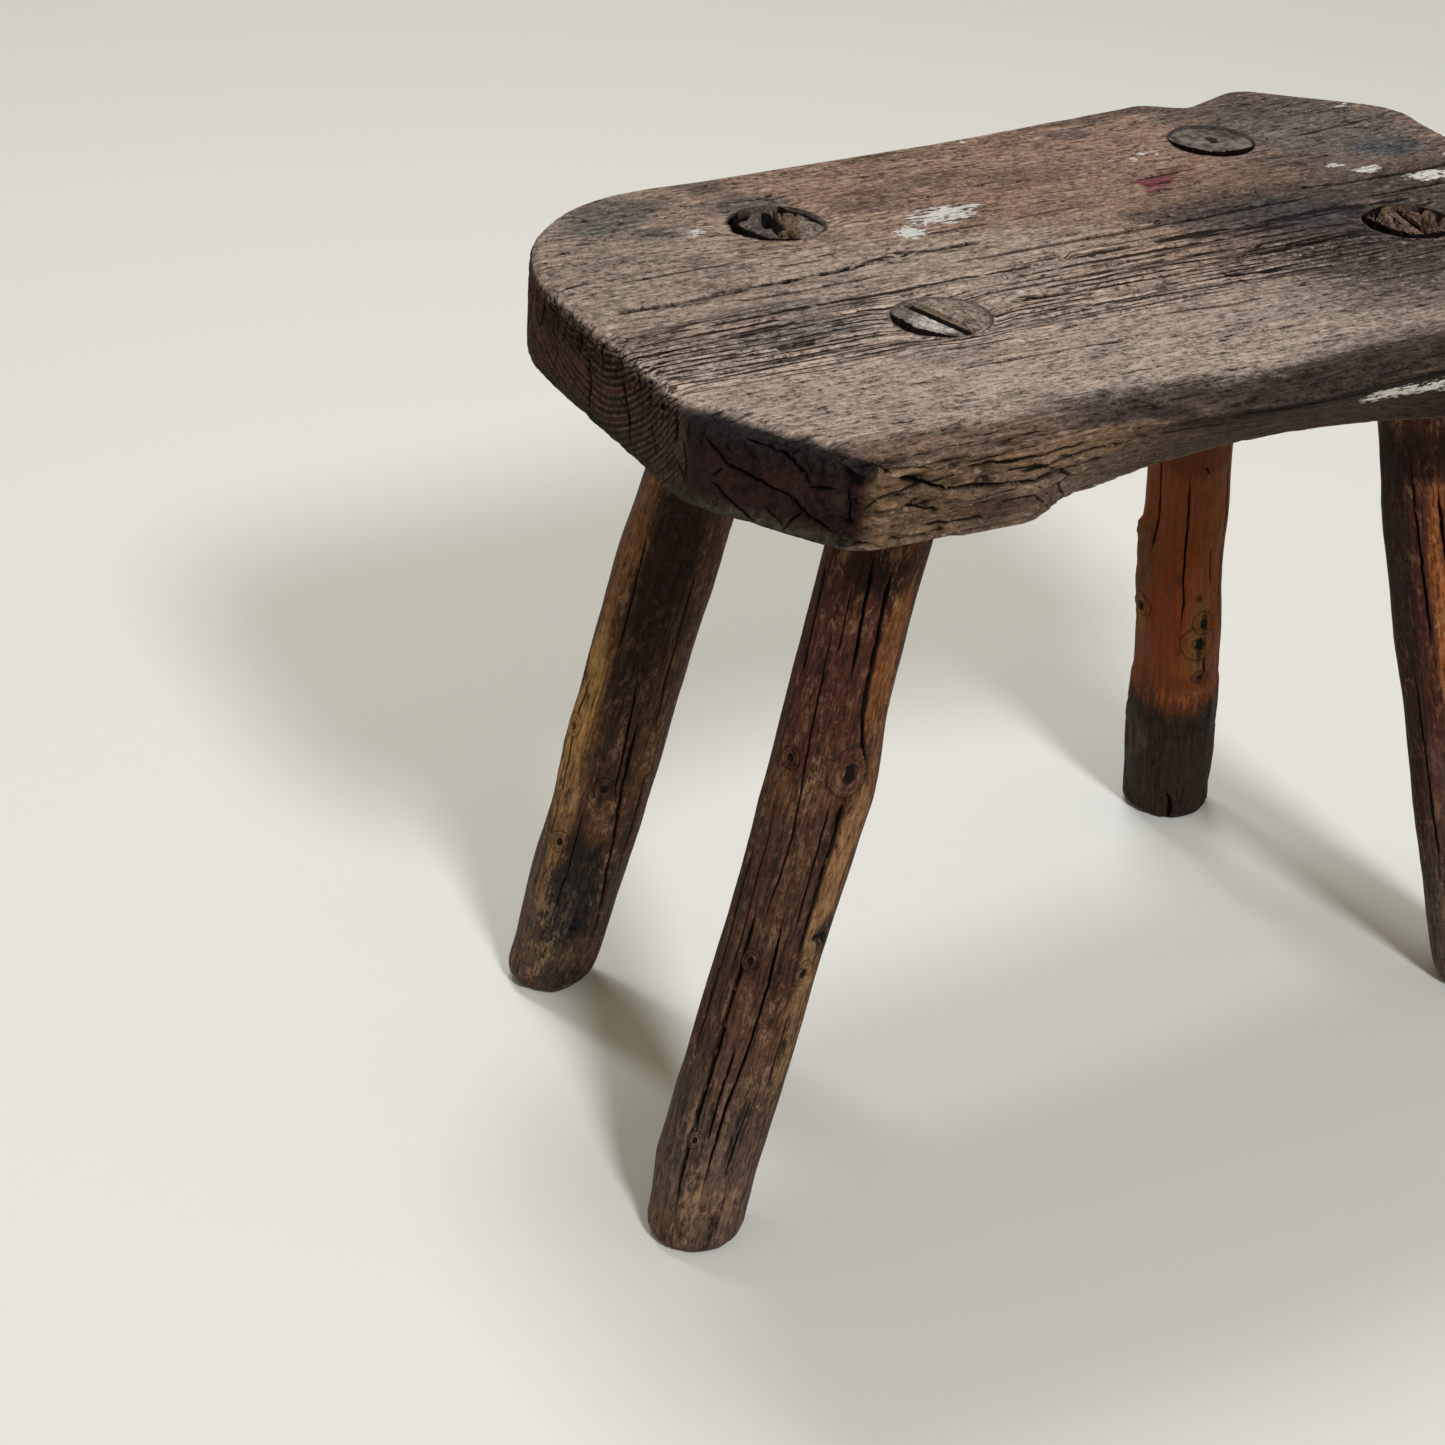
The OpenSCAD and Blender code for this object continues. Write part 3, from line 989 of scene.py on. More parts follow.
def bore_wall(shell, kind):
    """Adds a bore, as angle and share of the depth, and gives the numbers of its two rims."""
    angles = np.arange(BORE_STEPS) * 2 * np.pi / BORE_STEPS
    share = np.linspace(0, 1, BORE_ROWS + 1)
    share = 0.35 * share + 0.65 * share ** 1.7
    aa, ss = np.meshgrid(angles, share)
    grid = np.arange(aa.size).reshape(aa.shape)
    a, b = grid[:-1], grid[1:]
    next_a, next_b = np.roll(a, -1, 1), np.roll(b, -1, 1)
    faces = [np.stack(three, -1).reshape(-1, 3) for three in ((a, next_a, next_b), (a, next_b, b))]
    none = np.zeros(aa.size)
    ids = shell.take(kind, pairs(aa, ss), none, none, np.concatenate(faces)[:, ::-1], {})
    return ids[grid[0]], ids[grid[-1]]


def plank():
    """The plank as a shell: its edge, its four bores, its top and its underside."""
    shell = Shell()
    # The edge is a sheet of distance along the rim and depth below the top
    levels = np.linspace(0, THICK, EDGE_ROWS + 1)
    edge = Wrap((1.0, 1.0), RIM_T, RIM_LENGTH, levels)
    edge.cracks(WALL_CRACKS, 1.3, (1.0, 0.5), (RIM_LENGTH - 1, THICK - 0.5))
    tt, hh = np.meshgrid(RIM_T[1:], levels[1:-1])
    edge.fill(pairs(tt + 0.12 * jitter(tt.shape, 3), hh), 0.62)
    rim_high, rim_low = edge.join(shell, WALL, flip=True)
    mouths = [bore_wall(shell, BORE + k) for k in range(len(LEG_NAMES))]

    # The top is a sheet of place along the grain and place across it
    sheet = Sheet((2.4, 1.0))
    flat = unclimbed(RIM)
    borders = [(flat, sheet.add(flat, True), rim_high)]
    for name, (mouth, _) in zip(LEG_NAMES, mouths):
        loop = unclimbed(bore_loop(name, SEAT_TOP))
        borders.append((loop, sheet.add(loop, True), mouth))
    sheet.cracks(TOP_CRACKS, 2.1, (-194, -130), (184, 110))
    # Rows of points close to the rim and to the bores, where the top rounds over
    for inset, every in ((0.8, 1), (1.9, 2), (3.4, 2), (5.4, 3)):
        sheet.fill(unclimbed((RIM + RIM_IN * inset)[::every]), 0.4)
    for name in LEG_NAMES:
        for gap, every in ((0.6, 1), (1.4, 1), (2.6, 2)):
            sheet.fill(unclimbed(bore_loop(name, SEAT_TOP, gap, every)), 0.35)
    xs, ws = np.arange(-196, 186, 2.25), np.arange(-135, 130, 0.98)
    xx, ww = np.meshgrid(xs, ws)
    xx = xx + (np.arange(len(ws)) % 2)[:, None] * 1.1
    xx = xx + 0.3 * jitter(xx.shape, 1)
    join_face(shell, TOP, sheet, borders, pairs(xx, ww), 0.62)

    sheet = Sheet()
    flat = seat_low_rim()
    borders = [(flat, sheet.add(flat, True), rim_low)]
    for name, (_, mouth) in zip(LEG_NAMES, mouths):
        loop = bore_loop(name, SEAT_LOW)
        borders.append((loop, sheet.add(loop, True), mouth))
    xx, yy = np.meshgrid(np.arange(-196, 190, 3.1), np.arange(-126, 112, 2.0))
    grid = pairs(xx, yy) + 0.25 * pairs(jitter(xx.shape, 5), jitter(xx.shape, 6))
    join_face(shell, BOTTOM, sheet, borders, grid, 1.1, flip=True)
    shell.close()
    return shell


def wall_points(t, h):
    """Places of the plank's edge."""
    p, inward = rim_at(t, RIM), rim_at(t, RIM_IN)
    run, drop = top_round(t)
    inset, depth = roll_down(h, run, drop)
    up_inset, up = roll_down(THICK - h, np.full(len(t), LOW_ROUND), np.full(len(t), LOW_ROUND))
    low_side = h > THICK / 2
    inset = np.where(low_side, up_inset, inset)
    depth = np.where(low_side, THICK - up, depth)
    q = p + inward * inset[:, None]
    back = np.where(p[:, 1] < FRONT_Y, hollow(p[:, 0], depth), 0)
    return np.stack([q[:, 0], q[:, 1] + back, SEAT_TOP - depth], 1)


def seat_low_rim():
    """The outline of the underside, before its edge is rounded."""
    back = np.where(RIM[:, 1] < FRONT_Y, hollow(RIM[:, 0], np.full(len(RIM), THICK)), 0)
    return np.stack([RIM[:, 0], RIM[:, 1] + back], 1)


def place_plank(shell):
    """Places of the shell's points, with the edges rounded and nothing worn away yet."""
    kind, uv = shell.kind, shell.uv
    points = np.zeros((len(kind), 3))

    wall = kind == WALL
    points[wall] = wall_points(uv[wall, 0], uv[wall, 1])

    top = kind == TOP
    x, w = uv[top, 0], uv[top, 1]
    flat = np.stack([x, w + rise(x, w)], 1)
    t, d = rim_place(flat)
    run, drop = top_round(t)
    inset, fall = roll_over(d, run, drop)
    near_rim = d < run
    rim_p, rim_n = rim_at(t, RIM), rim_at(t, RIM_IN)
    way = np.where((d > 0.3)[:, None], (flat - rim_p) / np.maximum(d, 1e-6)[:, None], rim_n)
    flat = np.where(near_rim[:, None], rim_p + way * inset[:, None], flat)
    z = SEAT_TOP - np.where(near_rim, fall, 0)
    for name in LEG_NAMES:
        flat, z = soften_mouth(flat, z, AXES[name], mouth_run(name))
    points[top] = np.concatenate([flat, z[:, None]], 1)

    low = kind == BOTTOM
    flat = uv[low]
    rim_low = seat_low_rim()
    d = np.full(len(flat), 99.0)
    best = np.zeros(len(flat), int)
    for start in range(0, len(flat), 3000):
        q = flat[start:start + 3000]
        dist = (q[:, None, 0] - rim_low[:, 0]) ** 2 + (q[:, None, 1] - rim_low[:, 1]) ** 2
        best[start:start + 3000] = dist.argmin(1)
        d[start:start + 3000] = np.sqrt(dist.min(1))
    inset, fall = roll_over(d, np.full(len(d), LOW_ROUND), np.full(len(d), LOW_ROUND))
    near_rim = d < LOW_ROUND
    way = (flat - rim_low[best]) / np.maximum(d, 1e-6)[:, None]
    flat = np.where(near_rim[:, None], rim_low[best] + way * inset[:, None], flat)
    z = SEAT_LOW + np.where(near_rim, fall, 0)
    points[low] = np.concatenate([flat, z[:, None]], 1)

    for k, name in enumerate(LEG_NAMES):
        bore = kind == BORE + k
        angle, share = uv[bore, 0], uv[bore, 1]
        z = SEAT_TOP - share * THICK
        wide = mouth_run(name)(angle)
        a = np.radians(45) * (1 + np.clip(share * THICK / wide, 0, 1))
        mouth = share * THICK < wide
        radius = BORE_R + np.where(mouth, wide * (1 - np.sin(a)), 0)
        z = np.where(mouth, SEAT_TOP - wide * (1 - np.cos(a)), z)
        points[bore] = AXES[name].at_level(angle, radius, z)
    return points


# Where the rim of a bore is chipped: centre and half width in degrees, and how far
CHIPS = {
    "front_left": [(-165, 40, 0.9)],
    "back_left": [(-175, 60, 2.4), (-20, 45, 1.8), (110, 30, 1.5)],
    "back_right": [(-120, 80, 1.0)],
    "front_right": [(-170, 60, 2.2), (-80, 60, 1.8), (60, 60, 1.6)],
}


def sector(angle, centre, wide):
    """1 in a sector given by its centre and half width in degrees, 0 outside it."""
    return smooth(1.0, 0.6, np.abs(turned(angle, np.radians(centre))) / np.radians(wide))


def mouth_run(name):
    """How wide the rim of a bore is worn and chipped, as a function of the angle."""
    seed = LEG_NAMES.index(name)

    def run(angle):
        c, s = np.cos(angle), np.sin(angle)
        chip = sum(size * sector(angle, centre, wide) for centre, wide, size in CHIPS[name])
        uneven = noise(c * 2.3 + 5, s * 2.3 + 5, seed + 0.5, 50 + seed, 3)
        broken = noise(c * 6 + 5, s * 6 + 5, seed + 0.5, 55 + seed, 3, 0.6)
        return 0.3 + 0.25 * uneven + chip * (0.5 + 0.9 * np.clip(broken, -0.5, 1))
    return run


def worn_level(points):
    """Lets the top down to the tenons' ends where they lie flush."""
    for name in LEG_NAMES:
        axis = AXES[name]
        d, angle = axis.outside_bore(points - axis.top)
        share = 0.8 + 0.2 * noise(np.cos(angle) * 2, np.sin(angle) * 2, 0.5, 56, 2)
        share = share * smooth(9, 0.5, d) * smooth(309, 314, points[:, 2]) * (d > -3)
        points[:, 2] -= 1.1 * share
    return points


def soften_mouth(flat, z, axis, run):
    """Rounds the rim of a bore in the top."""
    rel = flat - axis.top[:2]
    d, angle = axis.outside_bore(np.stack([rel[:, 0], rel[:, 1], np.zeros(len(rel))], 1))
    wide = run(angle)
    hit = (d < wide) & (d > -1)
    inset, fall = roll_over(np.maximum(d[hit], 0), wide[hit], wide[hit])
    moved = axis.at_level(angle[hit], BORE_R + inset, np.full(hit.sum(), SEAT_TOP))
    flat, z = flat.copy(), z.copy()
    flat[hit] = moved[:, :2]
    z[hit] = np.minimum(z[hit], SEAT_TOP - fall)
    return flat, z


def blob(p, centre, size, seed=1, ragged=0.35, freq=9.0):
    """1 inside a ragged ellipsoid, 0 outside it."""
    c, s = np.array(centre, float), np.array(size, float)
    r = np.linalg.norm((p - c) / s, axis=1)
    hit = r < 2.2
    out = np.zeros(len(p))
    q = p[hit]
    r = r[hit] + ragged * noise(q[:, 0] / (freq * 1.8), q[:, 1] / freq, q[:, 2] / freq, 200 + seed, 3, 0.6)
    r = r + 1.3 * ragged * noise(q[:, 0] / 13, q[:, 1] / 2.6, q[:, 2] / 2.6, 230 + seed, 3, 0.65)
    out[hit] = smooth(1.15, 0.65, r)
    return out


def make_plank():
    """The plank, with its surface worn, cracked and torn."""
    shell = plank()
    base = place_plank(shell)
    normal = vertex_normals(base, shell.faces)
    x, y, z = base.T
    w = across_grain(x, y)
    kind = shell.kind
    up = normal[:, 2]
    end = smooth(0.45, 0.8, np.abs(normal[:, 0])) * (kind == WALL)
    end = np.maximum(end, smooth(0.2, 0.6, -normal[:, 0]) * smooth(313.2, 311, z) * (kind == WALL))
    in_bore = kind >= BORE
    topness = smooth(0.25, 0.85, up) * ~in_bore
    frontness = smooth(0.3, 0.75, -normal[:, 1]) * (kind == WALL)

    soft = rings(x, w, z)
    fine = fine_lines(x, w + z * 0.4)
    zone = top_zone(x, w)
    relief_top = np.clip(soft * 1.1 + 0.6 * fine, 0, 1) * zone
    relief_wall = np.clip(0.45 * soft + 0.55 * fine_lines(x + 31, w * 0.3 + z), 0, 1) * 0.7
    relief_end = soft * 0.55
    relief = relief_top * topness + (1 - topness) * np.where(end > 0.5, relief_end, relief_wall)
    relief = relief * ~in_bore

    worn_side = np.where(end > 0.5, 0.28 * relief_end, 0.6 * relief_wall)
    sink = 1.05 * relief_top * topness + (1 - topness) * worn_side
    sink = sink * ~in_bore + 0.15 * in_bore
    sink = sink + 0.42 * (0.5 + 0.5 * noise(x / 14, w / 3.5, z / 3.5, 61, 3)) * ~in_bore
    sink = sink + 0.5 * (0.5 + 0.5 * noise(x / 60, y / 40, z / 30, 62, 2)) * ~in_bore
    for px, py, a, b, deep in PITS:
        r = np.hypot((x - px) / a, (y - py) / b) + 0.35 * noise(x / 2.2, y / 1.4, 0.5, 70, 2)
        sink = sink + deep * smooth(1.0, 0.45, r) * topness
    # Torn, lumpy wood at the left of the front edge, and splinters along its lower part
    corner = np.clip(frontness + 0.8 * topness * smooth(-104, -114, y), 0, 1)
    lumps = smooth(-172, -165, x) * smooth(-96, -126, x) * corner
    sink = sink + lumps * np.clip(1.4 + 3.6 * noise(x / 12, y / 4, z / 2.4, 63, 4, 0.66), 0, 3.6)
    ledges = frontness * (1 - lumps) * smooth(-58, -75, x)
    sink = sink + ledges * 0.8 * smooth(-0.2, 0.5, noise(x / 26, 0.5, z / 2.6, 64, 3))
    sink = sink + frontness * smooth(-30, -70, x) * (0.6 + 1.1 * noise(x / 5, w / 2.5, z / 2.2, 58, 3, 0.6))
    roll = frontness * smooth(-75, -50, x)
    sink = sink + roll * 0.5 * (0.5 + 0.5 * noise(x / 16, w / 3, z / 3, 65, 3))
    # Bulging lower corner at the back of the left end, and the flat of the facet
    sink = sink + 0.9 * end * smooth(57, 40, y) * smooth(-60, -45, y) * smooth(290, 296, z)
    chips = (kind == WALL) * smooth(308.5, 312, z) * (1 - front_roll(base[:, :2]))
    sink = sink + chips * 0.7 * smooth(0.1, 0.6, noise(x / 5, y / 5, z / 4, 66, 3))
    low_chips = (kind == WALL) * smooth(289, 285, z)
    sink = sink + low_chips * 0.3 * smooth(0.0, 0.6, noise(x / 8, y / 8, z / 4, 67, 3))

    # The top edge of the left end is frayed along the grain
    facet_in = inside_facet(x, y)
    fray = smooth(-181, -192, x) * smooth(72, 58, y) * (y > -72)
    fray = np.maximum(fray, smooth(11, 3, facet_in) * (x < -150) * (y < -60)) * smooth(300, 307, z) * ~in_bore
    sink = sink + fray * 1.4 * smooth(-0.15, 0.5, noise(x / 15, w / 1.7, z / 6, 68, 3, 0.6))
    sink = sink + fray * 0.7 * smooth(0.0, 0.6, noise(x / 6, y / 7, z / 5, 69, 3))
    sink = sink * (1 - 0.6 * topness * smooth(72, 86, y))
    points = base - normal * (sink + shell.depth)[:, None]
    # The deepest torn pits, which are painted dark as shade further on
    torn = lumps * smooth(3.1, 4.6, sink)
    points = worn_level(points)
    points[:, 2] = np.clip(points[:, 2], SEAT_LOW, SEAT_TOP)

    end_zone = np.where((x < 0) & (y < FACET_Y), 0.12, 0.75)
    face_zone = np.clip(zone * 1.15, 0, 1) * topness + 0.45 * (1 - topness)
    ring_zone = np.where(end > 0.5, end_zone, face_zone) * ~in_bore
    tint, masks = plank_colours(base, end, topness, frontness, in_bore, normal, kind)
    # Painted shade: the rough front is darkened where it is sunk deep and lightened where it is barely sunk
    painted_cavity_shade = np.clip(2.0 - 0.4 * sink, 0.4, 1.7)
    rough_part = np.clip(frontness + topness * smooth(-106, -114, y), 0, 1) * smooth(-20, -60, x)
    tint.scale(1 + rough_part * (painted_cavity_shade - 1))
    end_mask = np.maximum(end, 0.6 * frontness * smooth(-40, -110, x))
    # Painted shade: the cracks, the deepest torn pits and the bore walls below their rim are darkened
    crack = np.clip(shell.dark + 0.8 * torn, 0, 1) + 0.95 * in_bore * smooth(314.3, 312.3, z)
    make_piece(
        "seat_plank", PLANK, points, shell.faces, np.stack([x, w, z], 1), tint,
        {"end_grain": end_mask, "relief": relief, "rings": ring_count(x, w, z), "zone": ring_zone,
         "crack": crack, **masks},
    )


# Stains on the top: place, half sizes along and across the grain, colour and strength, and for
# those that reach over the edge also the level and the half height
DARK_STAINS = [
    (66, -2, 40, 14, (68, 65, 66), 0.6), (35, 12, 22, 8, (58, 50, 50), 0.6),
    (92, -12, 24, 14, (58, 54, 54), 0.6), (138, 62, 46, 42, (92, 87, 84), 0.75),
    (122, 96, 44, 16, (84, 77, 72), 0.7), (150, 42, 16, 9, (72, 76, 80), 0.7),
    (-150, 73, 18, 13, (88, 88, 80), 0.75), (-140, 57, 10, 6, (82, 82, 78), 0.6),
    (-145, 84, 20, 6, (82, 76, 68), 0.6), (-108, 92, 12, 8, (78, 74, 66), 0.6),
    (-100, 72, 18, 9, (76, 74, 74), 0.65), (-104, 38, 20, 6, (96, 86, 78), 0.5),
    (44, 91, 12, 5, (80, 76, 72), 0.6), (-28, 95, 18, 6, (96, 82, 70), 0.4),
    (60, 106, 40, 7, (74, 66, 58), 0.6), (-137, -30, 26, 10, (92, 86, 80), 0.7),
    (-128, -14, 22, 7, (100, 92, 84), 0.55), (-73, -104, 4, 6, (84, 80, 80), 0.7),
    (20, -103, 18, 7, (78, 70, 68), 0.6), (4, -114, 30, 8, (74, 64, 60), 0.7),
    (-40, -118, 24, 7, (64, 58, 58), 0.85, 313, 12), (-108, -118, 14, 6, (74, 68, 66), 0.8, 314, 12),
    (-62, -105, 10, 6, (86, 78, 76), 0.5), (60, -110, 40, 14, (78, 66, 62), 0.6, 313, 14),
    (-140, -10, 20, 5, (96, 88, 82), 0.4), (-135, 22, 14, 5, (104, 92, 84), 0.4),
    (8, 60, 20, 10, (96, 76, 66), 0.5), (-60, 60, 16, 12, (92, 74, 66), 0.55),
    (-30, 70, 20, 8, (90, 74, 64), 0.45), (100, 40, 30, 10, (92, 76, 68), 0.4),
    (-100, -60, 22, 10, (112, 100, 92), 0.35), (95, -75, 40, 18, (100, 86, 80), 0.45),
]
LIGHT_STAINS = [
    (-100, 40, 26, 6, (150, 126, 104), 0.5), (-70, 45, 16, 8, (156, 134, 114), 0.5),
    (20, 40, 34, 8, (146, 122, 102), 0.45), (-90, 24, 40, 6, (150, 132, 116), 0.5),
    (30, 70, 30, 7, (138, 114, 100), 0.4), (85, 30, 24, 6, (134, 108, 90), 0.45),
    (-30, -88, 85, 22, (163, 145, 130), 0.6), (20, -70, 30, 8, (150, 134, 124), 0.4),
]
# Level and half height of a stain that lies on the top alone
TOP_STAIN = (315, 20)
# Spots of white paint on the top: place, half sizes and strength
PAINT_SPOTS = [
    (-60, 30, 6, 6, 0.85), (-42, 40, 13, 7.5, 0.8), (-31, 43, 8, 4, 0.6), (-52, 35, 8, 3, 0.5),
    (-127, 55, 3.5, 3.5, 0.6), (52, 62, 3, 2.2, 0.6), (59, 67, 4, 2.6, 0.6), (63, 64, 2, 1.6, 0.6),
    (-53, -27, 1.3, 1.2, 0.9), (118, 32, 4, 2, 0.7), (128, 24, 7, 3, 0.75), (145, 12, 10, 5, 0.9),
    (160, 8, 10, 3, 0.6), (2, 99, 2.2, 1.6, 0.7), (162, 83, 5, 2.5, 0.5), (-147, 33, 1.4, 1, 0.6),
    (170, 26, 8, 3, 0.6), (-35, 46, 3, 1.2, 0.5), (-14, -70, 1.2, 1, 0.5),
]


def plank_colours(p, end, topness, frontness, in_bore, normal, kind):
    """Colours of the plank's points, with painted shade on the front face and in the bores, and where it has
    white paint, dust and standing rings.
    """
    x, y, z = p.T
    ones = np.ones(len(p))
    tint = Tint((158, 139, 123), len(p))
    big = noise(x / 70, y / 45, z / 30, 90, 3)
    tint.coat((136, 111, 95), 0.5 * smooth(-0.2, 0.5, big))
    # Warm brown towards the back and the middle, paler towards the left and the front
    warm = smooth(5, 40, y) * smooth(-150, -60, x) + 0.6 * smooth(-35, 20, x) * smooth(-50, 0, y)
    tint.coat((134, 101, 80), 0.65 * np.clip(warm, 0, 1))
    tint.coat((169, 149, 133), 0.7 * smooth(-25, -60, y) * smooth(100, -20, x))
    tint.coat((133, 117, 103), 0.6 * smooth(-110, -150, x) * smooth(-70, -50, y) * smooth(-10, 10, y))
    tint.coat((68, 58, 53), 0.9 * smooth(0, 75, x) * smooth(-110, -60, y) * smooth(50, 10, y))
    for rows, seed in ((DARK_STAINS, 0), (LIGHT_STAINS, 40)):
        for k, (cx, cy, a, b, colour, strength, *low) in enumerate(rows):
            level, deep = low or TOP_STAIN
            stain = blob(p, (cx, cy, level), (a, b, deep), seed + k)
            tint.coat(colour, strength * stain * topness)
    tint.coat((118, 40, 60), 0.75 * blob(p, (45, 40, 315), (10, 7, 20), 7, 0.6, 4) * topness)
    tint.coat((118, 62, 66), 0.3 * blob(p, (62, 47, 315), (12, 5, 20), 8, 0.5, 5) * topness)

    # The worn front edge is brown and dirty
    edge_y = np.interp(x, top_front[:, 0], top_front[:, 1])
    from_front = y - edge_y + 5 * noise(x / 14, y / 6, z / 6, 98, 4, 0.6)
    tint.coat((88, 69, 55), 0.9 * topness * smooth(17, 8, from_front) * smooth(-170, -160, x))
    tint.coat((54, 45, 40), 0.85 * topness * smooth(24, 9, from_front) * smooth(-118, -78, x))
    tint.coat((34, 29, 27), 0.7 * topness * smooth(13, 5, from_front) * smooth(-105, -60, x)
                      * smooth(-0.1, 0.25, noise(x / 11, y / 7, 0.5, 99, 3, 0.6)))
    # The edge: torn tan wood in front, old maroon paint on the ends, dirt below
    side = (kind == WALL) * (1 - topness)
    tint.coat((112, 90, 70), 0.8 * side)
    tint.coat((150, 118, 88), 0.8 * side * frontness * blob(p, (-95, -121, 306), (46, 30, 8), 31, 0.3))
    tint.coat((138, 108, 78), 0.75 * side * blob(p, (-148, -120, 297), (22, 20, 16), 32, 0.3))
    tint.coat((84, 54, 48), 0.6 * side * blob(p, (-112, -118, 290), (18, 20, 4), 33, 0.5))
    tint.coat((96, 70, 56), 0.7 * side * smooth(-70, -50, x) * smooth(309, 303, z))
    tint.coat((50, 42, 38), 0.85 * side * frontness * smooth(-75, -45, x) * smooth(301, 306, z))
    tint.coat((54, 42, 35), 0.65 * side * frontness * smooth(10, 80, x))
    tint.coat((84, 72, 58), 0.7 * side * smooth(0.3, 0.7, normal[:, 1]))
    # Painted shade: the walls that face the front are darkened, more towards the right
    painted_front_shade = 0.64 - 0.32 * smooth(-112, -60, x)
    tint.scale(1 - (1 - painted_front_shade) * side * frontness)
    left_end, right_end = end * (x < 0), end * (x > 0)
    maroon = np.where(y < FACET_Y, 1.0, 0.95)
    pattern = noise(x / 8, y / 8, z / 6, 95, 3)
    tint.coat((76, 42, 38), 0.97 * left_end * maroon)
    tint.coat((36, 22, 20), 0.92 * left_end * smooth(-62, -70, y))
    tint.coat((104, 62, 60), 0.7 * left_end * blob(p, (-195, 47, 305), (9, 9, 5), 34))
    tint.coat((108, 64, 62), 0.8 * left_end * blob(p, (-195, 33, 297), (9, 6, 4.5), 35))
    tint.coat((84, 50, 48), 0.5 * left_end * smooth(0.1, 0.6, pattern) * smooth(-60, -50, y))
    bare_rim = 0.85 * left_end * smooth(308.5, 312, z) * smooth(45, 20, y)
    tint.coat((132, 116, 100), bare_rim * smooth(-62, -50, y))
    tint.coat((70, 66, 52), 0.7 * left_end * smooth(290, 285.5, z))
    tint.coat((72, 66, 56), 0.6 * left_end * smooth(-40, -58, y) * smooth(-72, -64, y))
    tint.coat((36, 28, 26), 0.8 * left_end * smooth(50, 54, y) * smooth(298, 290, z))
    # A darker band just under the top edge at the left end, strongest on the facet
    under_edge_band = smooth(304, 309, z) * smooth(315.2, 313.2, z) * (x < -158)
    tint.coat((36, 32, 30), 0.9 * under_edge_band * smooth(-60, -70, y))
    tint.coat((74, 62, 54), 0.3 * under_edge_band * end * smooth(-60, -50, y))
    from_facet = inside_facet(x, y) + 3.5 * noise(x / 5, y / 5, z / 5, 97, 3)
    fringe = smooth(7, 2.5, from_facet) * (y < -60) * (x < -150)
    tint.coat((33, 31, 28), 0.9 * fringe * topness)
    tint.coat((44, 36, 31), 0.5 * blob(p, (-167, -111, 297), (4, 4, 12), 36, 0.4, 5))
    tint.coat((92, 76, 66), 0.8 * right_end)
    # Underside and bores, the bore walls painted near black below their rim as shade
    low = (kind == BOTTOM) * ones
    tint.coat((98, 78, 60), 0.9 * low)
    tint.coat((70, 54, 42), 0.6 * low * smooth(0.0, 0.5, noise(x / 50, y / 30, 0.5, 96, 3)))
    tint.coat((92, 78, 68), 0.9 * in_bore)
    tint.coat((24, 18, 15), 0.95 * in_bore * smooth(313.2, 310, z))

    paint = np.zeros(len(p))
    for cx, cy, a, b, strength in PAINT_SPOTS:
        r = np.hypot((x - cx) / a, (y - cy) / b)
        paint = np.maximum(paint, strength * smooth(1.35, 0.4, r) * topness)
    strip = smooth(14, 22, x) * smooth(66, 48, x) * smooth(297, 300, z) * smooth(306, 303, z) * frontness
    paint = np.maximum(paint, 0.75 * strip)
    pale = np.clip(0.35 + 0.65 * smooth(40, -40, y), 0, 1) * topness
    pale = pale * smooth(8, 18, from_front)
    pale = np.maximum(pale, 0.5 * frontness * smooth(-55, -75, x) * smooth(-160, -155, x))
    ridge = left_end * smooth(-68, -60, y) * (0.04 + 0.9 * smooth(12, -22, y)) + 0.6 * right_end
    ridge = ridge * smooth(285, 292, z)
    pale = pale * (1 - 0.8 * blob(p, (65, -5, 315), (40, 16, 20), 3)) + 0.5 * end * smooth(308, 311, z)
    pale = pale * smooth(0.03, 0.09, tint.rgb.mean(1))
    return tint, {"paint": paint, "pale": pale, "ridge": np.clip(ridge, 0, 1)}


make_plank()


# ---------------------------------------------------------------- legs
def leg_crack(axis, line, width, depth, seed):
    """A drying check through places given as angle in degrees and distance up the leg."""
    p = np.array(line, float)
    angle = np.radians(p[:, 0])
    level = p[:, 1] * axis.dir[2] + SKIN_R * axis.out(angle)[:, 2]
    return Crack(np.stack([wrap(angle) * SHEET_R, level], 1), width, depth, ends=(0.15, 0.2), seed=seed)


SEAM = np.radians(60)
# Radii of a leg that its sheet is rolled out from, that its levels are measured at, and that
# distances round it are measured at
SHEET_R, SKIN_R, ROUND_R = 16.5, 16.7, 16.8
GIRTH = 2 * np.pi * SHEET_R


def wrap(angle):
    """The angle, counted from the seam at the hidden side of a leg."""
    return (angle - SEAM) % (2 * np.pi)


